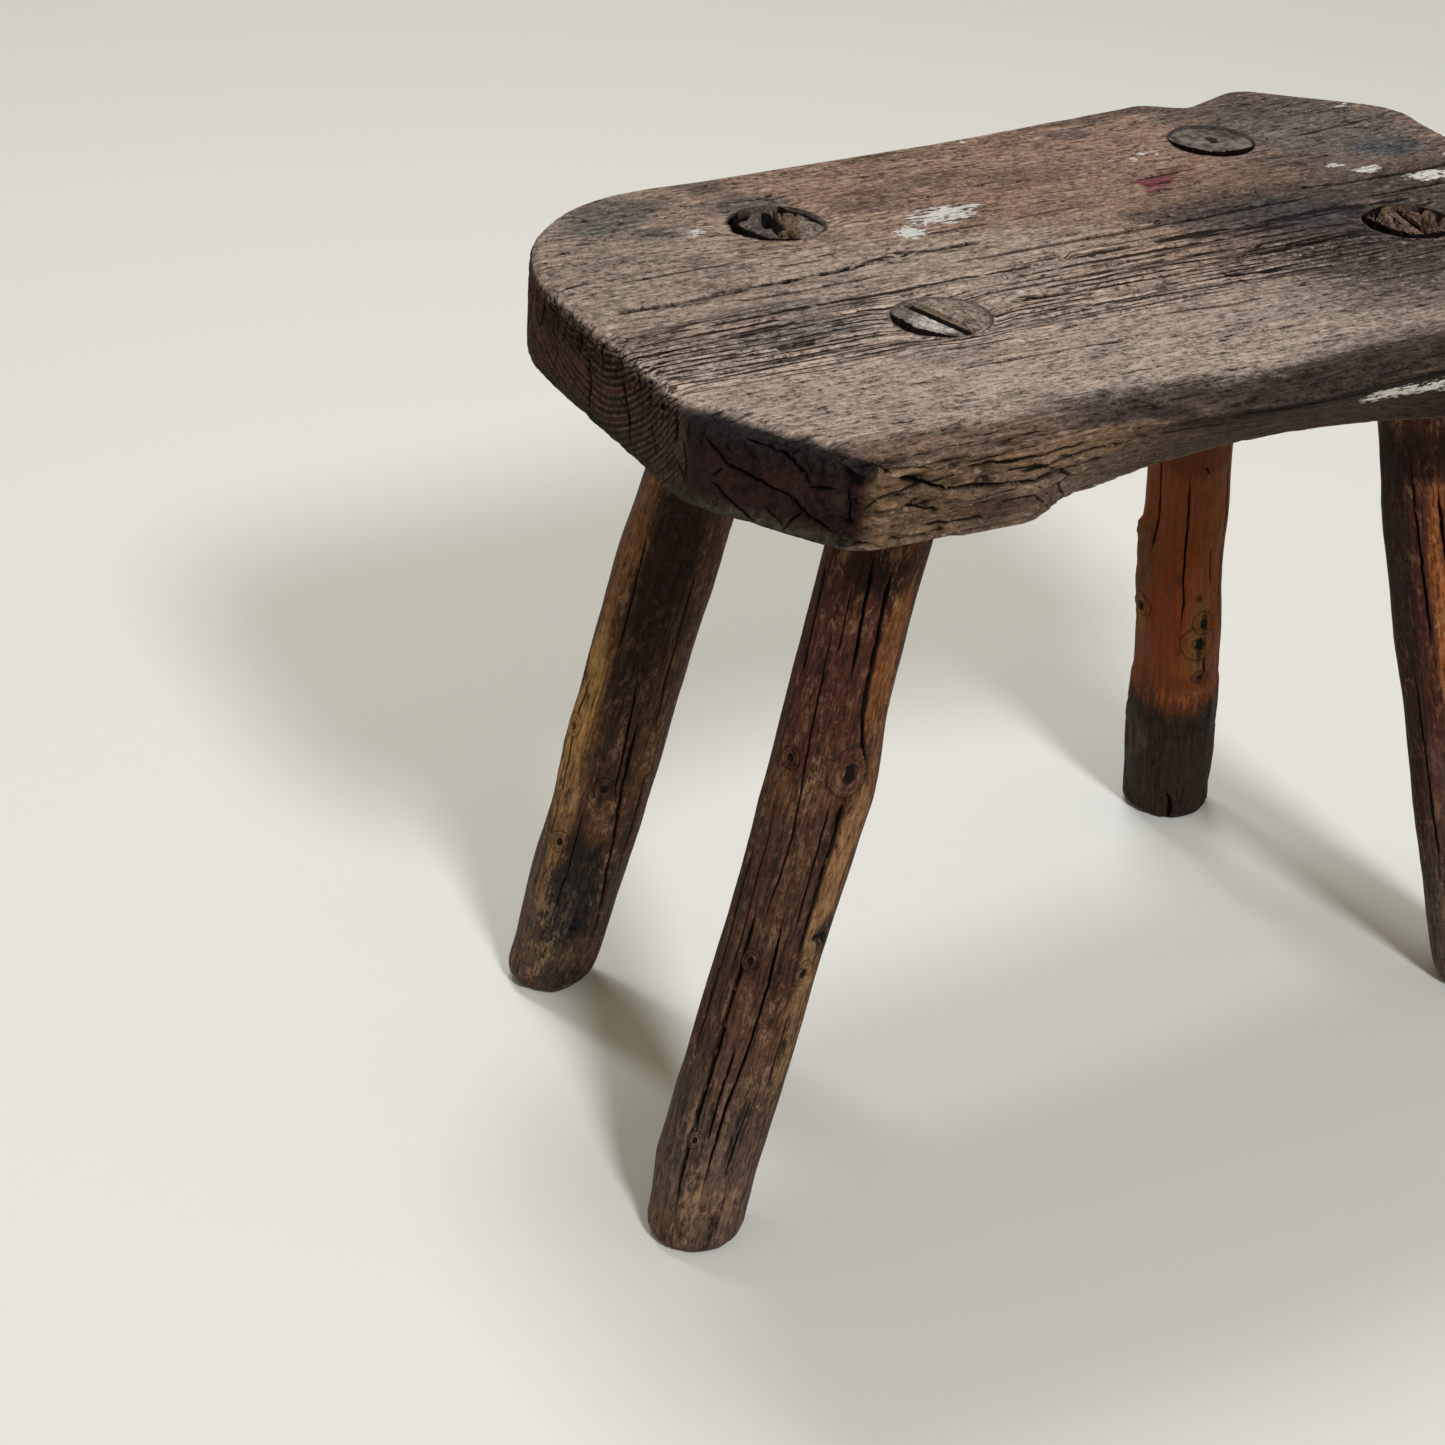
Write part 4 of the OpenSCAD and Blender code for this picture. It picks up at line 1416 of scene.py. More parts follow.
LEGS = {
    "front_left": dict(
        dusty=0.5,
        shade=(0.56, 0.5, 0.46),
        radius=[
            (0, 16.2), (11, 16.1), (27, 17), (57, 17.2), (88, 17), (118, 17), (147, 17.3), (169, 17.6),
            (197, 16.8), (225, 16.5), (328, 16),
        ],
        shift=[
            (0, 0), (11, -0.6), (27, -1.6), (57, -0.5), (88, 0.2), (118, 1.0), (147, 1.7), (169, 1.7),
            (197, 0.3), (239, -0.5), (280, 0),
        ],
        foot=(5.5, 6.5),
        cracks=[
            ([(-127.2, 250), (-122, 232), (-117.6, 210)], 1.2, 4.0),
            ([(-101, 250), (-98, 228), (-95.8, 208), (-92, 196), (-86, 188), (-75, 178)], 1.9, 6.0),
            ([(-96.6, 172), (-92.3, 153), (-92, 130), (-92.7, 106)], 1.9, 6.0),
            ([(-187.6, 244), (-181, 218), (-177.6, 203)], 1.3, 3.5),
            ([(-151.7, 230), (-148, 198), (-144.7, 178), (-139.5, 153), (-143.9, 114)], 0.7, 2.2),
            ([(-157, 130), (-154.8, 103), (-154, 78), (-152.6, 45), (-149, 5)], 1.7, 5.0),
            ([(-124, 128), (-117.6, 103), (-118.5, 78), (-124, 55), (-122, 23)], 1.0, 3.0),
            ([(-133, 78), (-134, 56), (-132, 38)], 0.8, 2.0), ([(-82.6, 90), (-82, 62)], 0.9, 2.2),
            ([(-168, 160), (-166, 128), (-164, 92)], 0.7, 1.8), ([(-140, 240), (-138, 214)], 0.6, 1.6),
            ([(-110, 170), (-108, 140), (-106, 118)], 0.7, 1.8),
            ([(-186, 150), (-184, 110), (-186, 60)], 1.0, 3.0),
            ([(-60, 160), (-56, 120), (-58, 70)], 1.0, 2.5),
            ([(-20, 240), (-18, 190), (-24, 150)], 1.2, 3.5), ([(20, 150), (26, 90), (24, 30)], 1.3, 4.0),
            ([(100, 230), (104, 160), (98, 100)], 1.2, 3.5), ([(140, 130), (136, 60)], 1.0, 2.5),
            ([(-100, 60), (-102, 30)], 0.7, 1.6),
        ],
        knots=[
            (-97, 179, 7, 9, 1.5), (-145, 107.5, 3.4, 4.4, 0.5), (-79.6, 106, 4, 5, 0.6),
            (-147, 40, 2.6, 3.4, 0.4), (-165, 178, 4, 4, 0.5), (90, 150, 5, 6, 1.0),
        ],
        base=(92, 62, 46),
        zones=[
            (-140, 230, 60, 70, (84, 46, 36), 0.75), (-150, 200, 40, 40, (88, 50, 42), 0.6),
            (-76, 222, 20, 34, (140, 90, 46), 0.75), (-58, 190, 16, 30, (126, 84, 50), 0.6),
            (-125, 130, 50, 55, (84, 60, 48), 0.7), (-70, 140, 20, 40, (168, 132, 90), 0.75),
            (-68, 90, 18, 40, (160, 128, 90), 0.65), (-60, 120, 16, 9, (30, 24, 22), 0.85),
            (-130, 60, 50, 40, (98, 74, 58), 0.6), (-165, 38, 14, 14, (44, 34, 30), 0.75),
            (-135, 16, 12, 8, (50, 38, 32), 0.6), (-110, 18, 34, 8, (156, 120, 76), 0.75),
            (-150, 6, 60, 6, (120, 86, 50), 0.75), (-180, 100, 16, 70, (70, 54, 44), 0.6),
            (-105, 50, 12, 12, (52, 42, 38), 0.6), (-140, 168, 50, 7, (120, 86, 54), 0.6),
            (-110, 246, 60, 8, (40, 24, 20), 0.7), (60, 160, 70, 120, (96, 66, 46), 0.5),
        ],
    ),
    "back_left": dict(
        dusty=0.2,
        shade=(0.6, 0.54, 0.5),
        radius=[
            (0, 15.8), (18, 16.1), (46, 16.8), (84, 17.2), (120, 17.8), (155, 17.8), (189, 18.2),
            (230, 17.2), (290, 16), (328, 16),
        ],
        shift=[
            (0, 0.6), (18, 0.8), (46, 0.4), (84, 0.2), (120, -0.9), (155, -1.6), (189, -1.5), (240, -0.6),
            (290, 0),
        ],
        foot=(7.5, 10.0),
        cracks=[
            ([(-105.4, 136), (-99.7, 98), (-86.6, 65), (-75.6, 34)], 1.4, 4.0),
            ([(-160, 205), (-153, 180), (-150, 152)], 0.8, 2.0),
            ([(-118, 148), (-112, 120), (-108, 96)], 0.8, 2.0),
            ([(-90, 200), (-84, 160), (-80, 120)], 0.8, 2.2), ([(-70, 110), (-66, 60)], 0.9, 2.5),
            ([(-185, 140), (-182, 110), (-176, 84)], 0.9, 2.0),
            ([(-140, 90), (-138, 60), (-142, 34)], 0.6, 1.6),
            ([(-30, 220), (-26, 150), (-34, 90)], 1.3, 4.0), ([(40, 180), (44, 110), (38, 50)], 1.2, 3.5),
            ([(110, 210), (114, 150), (110, 100)], 1.1, 3.0), ([(150, 110), (148, 50)], 1.0, 2.5),
        ],
        knots=[
            (-122, 100, 4, 5, 0.6), (-185, 118, 4, 5, 0.8), (-110, 36, 5, 4, 0.4), (80, 120, 5, 6, 1.0),
            (-160, 70, 4, 5, 0.5),
        ],
        base=(86, 60, 42),
        zones=[
            (-128, 190, 36, 60, (38, 22, 16), 0.9), (-182, 190, 22, 40, (140, 98, 60), 0.75),
            (-178, 122, 24, 46, (186, 146, 90), 0.9), (-168, 80, 20, 34, (160, 124, 80), 0.75),
            (-120, 130, 26, 40, (60, 42, 32), 0.7), (-76, 150, 24, 70, (98, 70, 44), 0.6),
            (-125, 52, 36, 40, (22, 20, 20), 0.97), (-175, 40, 18, 26, (104, 82, 60), 0.6),
            (-172, 28, 10, 8, (40, 34, 30), 0.7), (-130, 18, 70, 9, (96, 76, 54), 0.6),
            (-118, 84, 12, 12, (110, 78, 48), 0.6), (-100, 12, 60, 5, (36, 28, 24), 0.8),
            (-165, 170, 10, 20, (76, 46, 30), 0.5), (60, 150, 80, 110, (90, 62, 42), 0.5),
            (60, 40, 90, 30, (46, 38, 34), 0.7),
        ],
    ),
    "back_right": dict(
        dusty=0.1,
        shade=(0.6, 0.46, 0.34),
        radius=[
            (0, 17.3), (10, 17.5), (30, 18.3), (50, 18.6), (66, 18.0), (74, 17.2), (98, 17.0), (118, 16.9),
            (139, 16.8), (158, 16.2), (230, 16.6), (290, 16), (328, 16),
        ],
        shift=[
            (0, -0.2), (44, -0.2), (76, 0.4), (98, 0.2), (118, -0.5), (139, -0.6), (158, 0.4), (240, 0.2),
            (290, 0),
        ],
        foot=(4.5, 4.0),
        cracks=[
            ([(-124.6, 184), (-122.5, 146), (-119.5, 120), (-123, 104)], 0.9, 2.6),
            ([(-170, 190), (-169, 160), (-171, 138)], 1.2, 3.0), ([(-84, 145), (-80, 126)], 0.8, 1.8),
            ([(-90, 106), (-88, 92), (-84, 80)], 1.6, 3.0),
            ([(-60, 190), (-56, 140), (-60, 100)], 0.8, 2.2), ([(-104, 186), (-97, 182)], 0.8, 1.4),
            ([(10, 200), (14, 120), (8, 60)], 1.2, 3.5), ([(90, 180), (94, 110), (90, 60)], 1.2, 3.5),
            ([(150, 120), (146, 60)], 1.0, 2.5), ([(-126, 20), (-118, 12), (-122, 3)], 2.0, 2.4),
        ],
        knots=[
            (-90, 108, 5, 6, 0.9), (-96, 98, 8, 9, 1.1), (-92, 80, 4, 3.4, 0.5), (-98, 121, 1.2, 1.2, 0.4),
            (-183, 112, 5, 7, 1.0), (70, 130, 5, 6, 1.0),
        ],
        base=(140, 84, 40),
        zones=[
            (-120, 170, 70, 40, (146, 88, 42), 0.7), (-140, 110, 30, 34, (134, 66, 30), 0.75),
            (-80, 160, 26, 40, (156, 100, 52), 0.6), (-112, 130, 20, 26, (150, 84, 38), 0.5),
            (-94, 99, 20, 24, (138, 106, 58), 0.8), (-90, 108, 6, 6, (30, 24, 20), 0.85),
            (-95, 94, 4, 9, (34, 26, 22), 0.8), (-92, 80, 7, 3, (34, 28, 24), 0.8),
            (-182, 126, 16, 34, (120, 92, 58), 0.8), (-182, 108, 8, 10, (168, 126, 72), 0.7),
            (-128, 131, 2.4, 2.6, (40, 24, 18), 0.8), (-120, 78, 80, 5, (110, 60, 32), 0.5),
            (-110, 188, 60, 8, (110, 60, 30), 0.7), (60, 150, 90, 60, (132, 84, 44), 0.5),
        ],
        char=(74, 64),
        clean=1.0,
    ),
    "front_right": dict(
        dusty=0.7,
        shade=(0.62, 0.54, 0.52),
        radius=[
            (0, 15.4), (8, 15.2), (17, 15.8), (37, 16.2), (56, 16.8), (83, 16.9), (120, 17.3), (155, 17.8),
            (200, 18.2), (235, 17.2), (290, 16), (328, 16),
        ],
        shift=[
            (0, 0), (60, 0), (120, 0), (160, -0.2), (222, -0.3), (290, 0),
        ],
        foot=(5.5, 6.0),
        cracks=[
            ([(-150, 240), (-146, 200), (-142, 160)], 1.1, 3.0),
            ([(-120, 230), (-116, 180), (-118, 140)], 1.3, 4.0),
            ([(-170, 150), (-166, 100), (-160, 60)], 1.2, 3.0),
            ([(-100, 120), (-96, 70), (-100, 20)], 1.5, 4.5),
            ([(-60, 200), (-58, 140), (-62, 90)], 1.0, 3.0), ([(0, 220), (4, 150), (-2, 80)], 1.3, 4.0),
            ([(80, 200), (84, 130), (78, 60)], 1.2, 3.5), ([(140, 140), (136, 70)], 1.0, 2.5),
        ],
        knots=[
            (-118, 128, 4, 5, 0.7), (-70, 90, 5, 6, 1.0), (60, 150, 5, 6, 1.0), (-150, 60, 4, 5, 0.6),
        ],
        base=(86, 52, 38),
        zones=[
            (-180, 190, 34, 80, (44, 26, 22), 0.85), (-185, 80, 26, 80, (56, 34, 28), 0.8),
            (-146, 170, 12, 70, (88, 50, 38), 0.6), (-124, 175, 14, 66, (168, 104, 50), 0.85),
            (-100, 120, 30, 60, (110, 74, 46), 0.6), (-130, 70, 50, 60, (106, 82, 72), 0.7),
            (-120, 10, 90, 10, (92, 70, 50), 0.6), (-150, 240, 60, 12, (36, 20, 18), 0.7),
            (60, 150, 90, 110, (84, 54, 38), 0.5),
        ],
    ),
}
LEG_COLUMNS = 150
LEVEL_STEP = 2.15
# The way that the crooked legs bend, and that places in the back left tenon are measured along
SIDE = np.array([0.869, -0.495, 0.0])


def polar_gap(angle, s, centre, level):
    """Distance round a leg and along it from a place, in millimetres."""
    return turned(angle, np.radians(centre)) * ROUND_R, s - level


def leg_surface(name, angle, level, depth):
    """Places on a leg's side at those angles and levels, sunk by depth, and its relief."""
    spec, axis = LEGS[name], AXES[name]
    seed = 300 + 20 * LEG_NAMES.index(name)
    out = axis.out(angle)
    s = (level - SKIN_R * out[:, 2]) / axis.dir[2]
    radius = np.interp(s, *np.array(spec["radius"]).T)
    shift = np.interp(s, *np.array(spec["shift"]).T)
    c, sn = np.cos(angle), np.sin(angle)
    shaped = smooth(278, 255, s)
    # Flats left by the axe or the knife, and a slow unevenness
    flats = 0
    for k in range(7):
        at = np.radians(23 + 51.4 * k + 14 * lattice(k, 3, 1, seed))
        at = at + 0.5 * noise(s / 130, k + 0.5, 0.5, seed + 1, 2)
        size = 0.75 + 0.5 * lattice(k, 5, 2, seed)
        flats = flats + size * np.exp(-((turned(angle, at) / 0.34) ** 2))
    waves = noise(c * 1.3 + 7, sn * 1.3 + 7, s / 26, seed + 2, 3)
    ripple = noise(c * 4.2 + 9, sn * 4.2 + 9, s / 46, seed + 3, 3, 0.6)
    fibres = noise(c * 13 + 20, sn * 13 + 20, s / 34, seed + 4, 2)
    relief = smooth(0.15, 0.6, fibres)
    radius = radius + shaped * (0.35 - 0.55 * flats + 0.75 * waves + 0.45 * ripple - 0.28 * relief)
    dark = np.zeros(len(angle))
    for ka, ks, wide, tall, raised in spec["knots"]:
        du, ds = polar_gap(angle, s, ka, ks)
        r = np.hypot(du / wide, ds / tall)
        radius = radius + raised * np.exp(-((r / 1.5) ** 2))
        relief = relief * (1 - smooth(1.15, 0.85, r))
    if name == "back_right":
        # Bark left standing along the left side, and the step where the charring starts
        du, ds = polar_gap(angle, s, -186, 128)
        bark = smooth(1.15, 0.8, np.hypot(du / 5.5, ds / 30) + 0.3 * noise(du / 3, s / 6, 0.5, seed + 7, 3))
        radius = radius + 1.5 * bark * (0.6 + 0.6 * noise(du / 2, s / 3.5, 0.5, seed + 8, 3))
        du, ds = polar_gap(angle, s, -196, 149)
        radius = radius + 1.8 * smooth(1.2, 0.5, np.hypot(du / 4, ds / 5))
        below = smooth(75, 70, s + 2.5 * noise(c * 3, sn * 3, 0.5, seed + 9, 3))
        radius = radius + 0.4 * below
        radius = radius - below * 0.7 * smooth(0.0, 0.5, noise(c * 7, sn * 7, s / 7, seed + 10, 3))
    if name == "front_left":
        du, ds = polar_gap(angle, s, -62, 172)
        radius = radius + 1.3 * np.exp(-((du / 9) ** 2) - ((ds / 14) ** 2))
        # A notch cut into the leg, painted dark inside as shade
        du, ds = polar_gap(angle, s, -62, 119)
        radius = radius - 1.6 * smooth(1.2, 0.3, np.hypot(du / 7, ds / 2.2) + 0.2 * ripple)
        dark = np.maximum(dark, smooth(1.2, 0.4, np.hypot(du / 7, ds / 2)))
    if name == "back_left":
        crumbs = blob_polar(angle, s, -180, 112, 12, 46)
        radius = radius - crumbs * 0.9 * smooth(0.0, 0.5, noise(c * 8, sn * 8, s / 6, seed + 11, 3))
    # The tenon: a plain round, a little loose in the mouth of its bore
    into = smooth(262, 284, s)
    radius = radius * (1 - into) + 15.85 * into
    radius = radius - tenon_gap(name, angle) * smooth(SEAT_TOP - 16, SEAT_TOP - 7, level)
    radius = radius - depth * (1 - 0.6 * into)
    # The foot, worn round
    reach_in, reach_up = spec["foot"]
    uneven = 1 + 0.35 * noise(c * 1.5 + 3, sn * 1.5 + 3, 0.5, seed + 12, 3)
    reach_in, reach_up = reach_in * uneven, reach_up * uneven
    a = np.clip(level / reach_up, 0, 1)
    radius = radius - np.where(level < reach_up, reach_in * (1 - np.sqrt(np.maximum(1 - (1 - a) ** 2, 0))), 0)
    place = axis.at_level(angle, radius, level)
    place = place + SIDE * (shift * (1 - into))[:, None]
    return place, s, relief * shaped, dark


def blob_polar(angle, s, centre, level, wide, tall, seed=0):
    """1 inside a ragged oval on a leg's side, 0 outside it."""
    du, ds = polar_gap(angle, s, centre, level)
    r = np.hypot(du / wide, ds / tall) + 0.35 * noise(du / 6, ds / 14, seed + 0.5, 400 + seed, 3, 0.6)
    return smooth(1.2, 0.6, r)


# Gap between a tenon and its bore, by angle: centre, half width in degrees and size
GAPS = {
    "front_left": [(-155, 70, 3.6)],
    "back_left": [(-170, 60, 3.0), (-110, 30, 1.6), (15, 52, 4.6), (140, 30, 2.0)],
    "back_right": [(-120, 95, 4.2)],
    "front_right": [(-165, 66, 4.0), (-95, 50, 3.4), (0, 60, 1.2), (110, 40, 1.6)],
}


def tenon_gap(name, angle):
    """Width of the gap between a tenon and its bore."""
    total = 0.04 + 0 * angle
    for centre, wide, size in GAPS[name]:
        off = np.abs(turned(angle, np.radians(centre))) / np.radians(wide)
        total = np.maximum(total, size * smooth(1.0, 0.35, off))
    seed = 500 + LEG_NAMES.index(name)
    return total * (1 + 0.6 * noise(np.cos(angle) * 5, np.sin(angle) * 5, 0.5, seed, 4, 0.6))


def kerf_frame(name):
    """Middle of a leg's kerf at the tenon's end, the way along it and its half width."""
    node = "wedge_" + name
    if node not in frame["nodes"]:
        return None
    loop = flat_loops(node, TENON_TOP)[0]
    centre = (loop.min(0) + loop.max(0)) / 2
    rel = loop - loop.mean(0)
    _, _, axes = np.linalg.svd(rel, full_matrices=False)
    way = axes[0] if axes[0][1] > 0 else -axes[0]
    side = np.array([way[1], -way[0]])
    return centre, way, side, np.abs(rel @ side).max()


def cap_depth(name, along, across, p):
    """How far a tenon's end lies below its highest level, and how dark it is there; its holes, slits and
    crumbled pits are painted dark as shade.
    """
    x, y = p.T
    fine = noise(x / 1.6, y / 1.6, 0.5, 601, 3, 0.6)
    broad = noise(x / 5, y / 5, 0.5, 602, 3, 0.6)
    r = np.hypot(along, across)
    rim = smooth(13.0, 16.0, r)
    depth = 0.12 + 0.2 * broad + 0.12 * fine + 0.2 * rim
    dark = np.zeros(len(p))
    if name == "front_left":
        left = across < 0
        depth = depth + np.where(left, 0.4 + 0.5 * smooth(-6, -14, across), 0.1)
        dark = dark + 0.5 * smooth(1.2, 0.3, np.abs(across + 3.1)) * smooth(0, -14, along)
    elif name == "back_left":
        left = smooth(-1.0, -2.2, across)
        rel = p - AXES[name].top[:2]
        right, far = rel @ SIDE[:2], rel @ np.array([-SIDE[1], SIDE[0]])
        ragged = 0.3 * noise(x / 2.5, y / 2.5, 0.5, 603, 4, 0.62)
        for cr, cf, a, b, deep in HOLES:
            hole = smooth(1.15, 0.75, np.hypot((right - cr) / a, (far - cf) / b) + ragged)
            depth = depth + deep * hole
            dark = np.maximum(dark, hole)
        crumbly = smooth(8.5, 6, right) * (1 - left)
        crumbs = noise(x / 2.0, y / 2.6, 0.5, 606, 4, 0.7)
        depth = depth + crumbly * 2.6 * smooth(-0.2, 0.35, crumbs)
        dark = np.maximum(dark, 0.9 * crumbly * smooth(0.08, 0.25, crumbs))
        hollow_cheek = 0.9 * np.abs(noise(x / 6, y / 6, 0.5, 605, 2)) + 0.8 * smooth(-8, -15, across)
        depth = depth + left * hollow_cheek
        slit = smooth(1.5, 0.4, np.abs(across - 2.6 - 0.6 * fine)) * smooth(1, -9, along)
        depth = depth + 3.0 * slit
        dark = np.maximum(dark, slit)
    elif name == "back_right":
        depth = depth + 0.5 + 0.5 * smooth(2, 14, r)
        hole = smooth(2.0, 0.7, np.hypot((x - 94) / 1.8, (y - 70) / 0.8))
        depth = depth + 1.6 * hole
        dark = np.maximum(dark, hole)
    else:
        crumbs = noise(x / 2.2, y / 3.2, 0.5, 604, 4, 0.7)
        depth = depth + 0.3 + 4.0 * smooth(-0.2, 0.25, crumbs) + 1.5 * np.abs(broad)
        dark = np.maximum(dark, 0.95 * smooth(-0.04, 0.12, crumbs))
    return np.maximum(depth, 0.05), dark


# Holes in the rotten end of the back left tenon: to the right and away, half sizes, depth
HOLES = [
    (-12.5, 7, 3.0, 6, 5), (-2.8, 4, 2.6, 8, 6), (-12, -7, 4.5, 2.2, 4), (-6, -12, 3.4, 2.0, 4),
    (-15.5, 0, 2.2, 7, 5), (2, 13, 4, 2.6, 4),
]
CAP_TINTS = {
    "front_left": [(98, 90, 82), (122, 107, 94)],
    "back_left": [(76, 66, 60), (112, 98, 86)],
    "back_right": [(104, 96, 85), (96, 88, 78)],
    "front_right": [(92, 74, 60), (88, 70, 56)],
}


SIDE_PART, CAP_PART, KERF_PART, SOLE_PART, SOLE_MIDDLE = range(5)
KERF_DEPTH, KERF_RINGS, SOLE_RINGS = 24.0, 8, 8


def kerf_outline(name, rim):
    """The kerf's outline in the tenon's end, or nothing for a tenon without a kerf."""
    kerf = kerf_frame(name)
    if kerf is None:
        return None
    centre, way, side, half = kerf
    ends = []
    for sign in (1, -1):
        reach = 4.0
        while inside(np.array([centre + sign * way * (reach + 1.0)]), rim)[0] and reach < 18:
            reach += 0.1
        ends.append(reach - 0.3)
    line = np.arange(-ends[1], ends[0], 0.8)
    wander = 0.18 * noise(line / 2.2, 0.5, 0.5, 640 + LEG_NAMES.index(name), 2)
    right = centre + way * line[:, None] + side * (half + wander)[:, None]
    left = centre + way * line[:, None] - side * (half + 0.25 + wander)[:, None]
    return np.concatenate([right, left[::-1]])


def leg_shell(name):
    """A leg as a shell, with the ring of points round its sole, the tenon's rim and the kerf."""
    spec, axis = LEGS[name], AXES[name]
    top = TENON_TOP
    shell = Shell()
    # The side is a sheet of distance round the leg and level
    columns = np.arange(LEG_COLUMNS) * GIRTH / LEG_COLUMNS
    levels = np.linspace(0, top, int(top / LEVEL_STEP) + 1)
    levels = levels * (1 - 0.35 * np.exp(-levels / 6.0))
    sheet = Wrap((1.0, 2.9), columns, GIRTH, levels)
    knots = []
    for angle, s, wide, tall, _ in spec["knots"]:
        level = s * axis.dir[2] + SKIN_R * axis.out(np.array(np.radians(angle)))[2]
        knots.append((float(wrap(np.radians(angle)) * SHEET_R), float(level), wide * 0.8, tall * 0.8))
    sheet.knots(knots)
    seed = 130 + 20 * LEG_NAMES.index(name)
    cracks = [leg_crack(axis, *row, seed + k) for k, row in enumerate(spec["cracks"])]
    sheet.cracks(cracks, 2.6, (0.8, 1.0), (GIRTH - 0.8, top - 4))
    uu, ll = np.meshgrid(columns[1:], levels[1:-1])
    uu = uu + (np.arange(len(levels) - 2) % 2)[:, None] * 0.3
    sheet.fill(pairs(uu + 0.08 * jitter(uu.shape, 8), ll), 0.46)
    ring_low, ring_high = sheet.join(shell, SIDE_PART)

    # The end of the tenon, with the kerf as a deep pocket whose walls are painted black as shade
    none = np.zeros(LEG_COLUMNS)
    rim = leg_surface(name, columns / SHEET_R + SEAM, none + top, none)[0][:, :2]
    sheet = Sheet()
    borders = [(rim, sheet.add(rim, True), ring_high)]
    pocket = kerf_outline(name, rim)
    if pocket is not None:
        borders.append((pocket, sheet.add(pocket, True), ()))
    gx, gy = np.meshgrid(np.arange(-18, 18, 0.62), np.arange(-18, 18, 0.62))
    grid = pairs(gx, gy) + rim.mean(0) + 0.12 * pairs(jitter(gx.shape, 2), jitter(gx.shape, 3))
    ids, where = join_face(shell, CAP_PART, sheet, borders, grid, 0.36)
    if pocket is not None:
        n = len(pocket)
        shares = np.arange(1, KERF_RINGS + 1) / KERF_RINGS
        order = join_rings(shell, KERF_PART, ids[where[borders[1][1]]], np.arange(n), shares, 1)
        for k in range(n // 2 - 1):
            shell.faces.append(np.array([[order[k], order[k + 1], order[n - 1 - k]],
                                         [order[k + 1], order[n - 2 - k], order[n - 1 - k]]]))

    # The sole, in rings towards its middle
    shares = np.arange(1, SOLE_RINGS + 1) / (SOLE_RINGS + 1)
    ring = join_rings(shell, SOLE_PART, ring_low, columns, shares, 0)
    last = shell.take(SOLE_MIDDLE, np.zeros((1, 2)), np.zeros(1), np.zeros(1), NO_FACES, {})
    shell.faces.append(np.stack([np.roll(ring, -1), ring, np.full(LEG_COLUMNS, last[0])], 1))
    shell.close()
    return shell, ring_low, rim, pocket


def make_leg(name):
    """One leg, from its shell: places of its points, then their colours."""
    axis = AXES[name]
    shell, ring_low, rim, pocket = leg_shell(name)
    kind, uv = shell.kind, shell.uv
    count = len(kind)
    place, s, relief = np.zeros((count, 3)), np.zeros(count), np.zeros(count)
    dark = shell.dark.copy()
    part = kind == SIDE_PART
    place[part], s[part], relief[part], side_dark = leg_surface(
        name, uv[part, 0] / SHEET_R + SEAM, uv[part, 1], shell.depth[part])
    dark[part] = np.maximum(dark[part], side_dark)

    cap = kind == CAP_PART
    if pocket is not None:
        centre, way, side, _ = kerf_frame(name)
    else:
        centre, way, side = rim.mean(0), np.array([0.0, 1.0]), np.array([1.0, 0.0])
    along, across = np.zeros(count), np.zeros(count)
    along[cap], across[cap] = (uv[cap] - centre) @ way, (uv[cap] - centre) @ side
    from_middle = np.hypot(along, across)
    fall, cap_dark = cap_depth(name, along[cap], across[cap], uv[cap])
    place[cap] = np.concatenate([uv[cap], (TENON_TOP - fall)[:, None]], 1)
    dark[cap] = np.maximum(dark[cap], cap_dark)

    part = kind == KERF_PART
    if pocket is not None:
        share = uv[part, 1]
        deep = share * KERF_DEPTH
        rel = pocket[uv[part, 0].astype(int)] - centre
        far, off = (rel @ way) * (1 - 0.03 * share), (rel @ side) * (1 - 0.62 * share)
        flat = centre + way * far[:, None] + side * off[:, None]
        flat = flat - (axis.dir[:2] / axis.dir[2]) * deep[:, None]
        place[part] = np.concatenate([flat, (TENON_TOP - 0.4 - deep)[:, None]], 1)

    part = kind == SOLE_PART
    ring = place[ring_low]
    share = uv[part, 1][:, None]
    column = np.round(uv[part, 0] * LEG_COLUMNS / GIRTH).astype(int) % LEG_COLUMNS
    sole = ring[column] * (1 - share) + ring.mean(0) * share
    sole[:, 2] = 0.5 * np.clip(noise(sole[:, 0] / 3, sole[:, 1] / 3, 0.5, 650, 3), 0, 1) * share[:, 0]
    place[part] = sole
    place[kind == SOLE_MIDDLE] = ring.mean(0) + [0, 0, 0.1]

    end = cap | (kind == KERF_PART)
    local = axis.local(place)
    tint, dark, worn, clean = leg_colours(name, kind, place, local, end, along, across, from_middle, dark)
    grain = np.where(end[:, None], local * [1, 1, 12], local)
    place[:, 2] = np.clip(place[:, 2], 0, TENON_TOP)
    make_piece(
        "leg_" + name, POLE, place, shell.faces, grain, tint,
        {"crack": np.clip(dark, 0, 1), "relief": relief * (1 - 0.7 * clean), "worn": worn * (1 - clean),
         "clean": clean},
        sharp=55,
    )


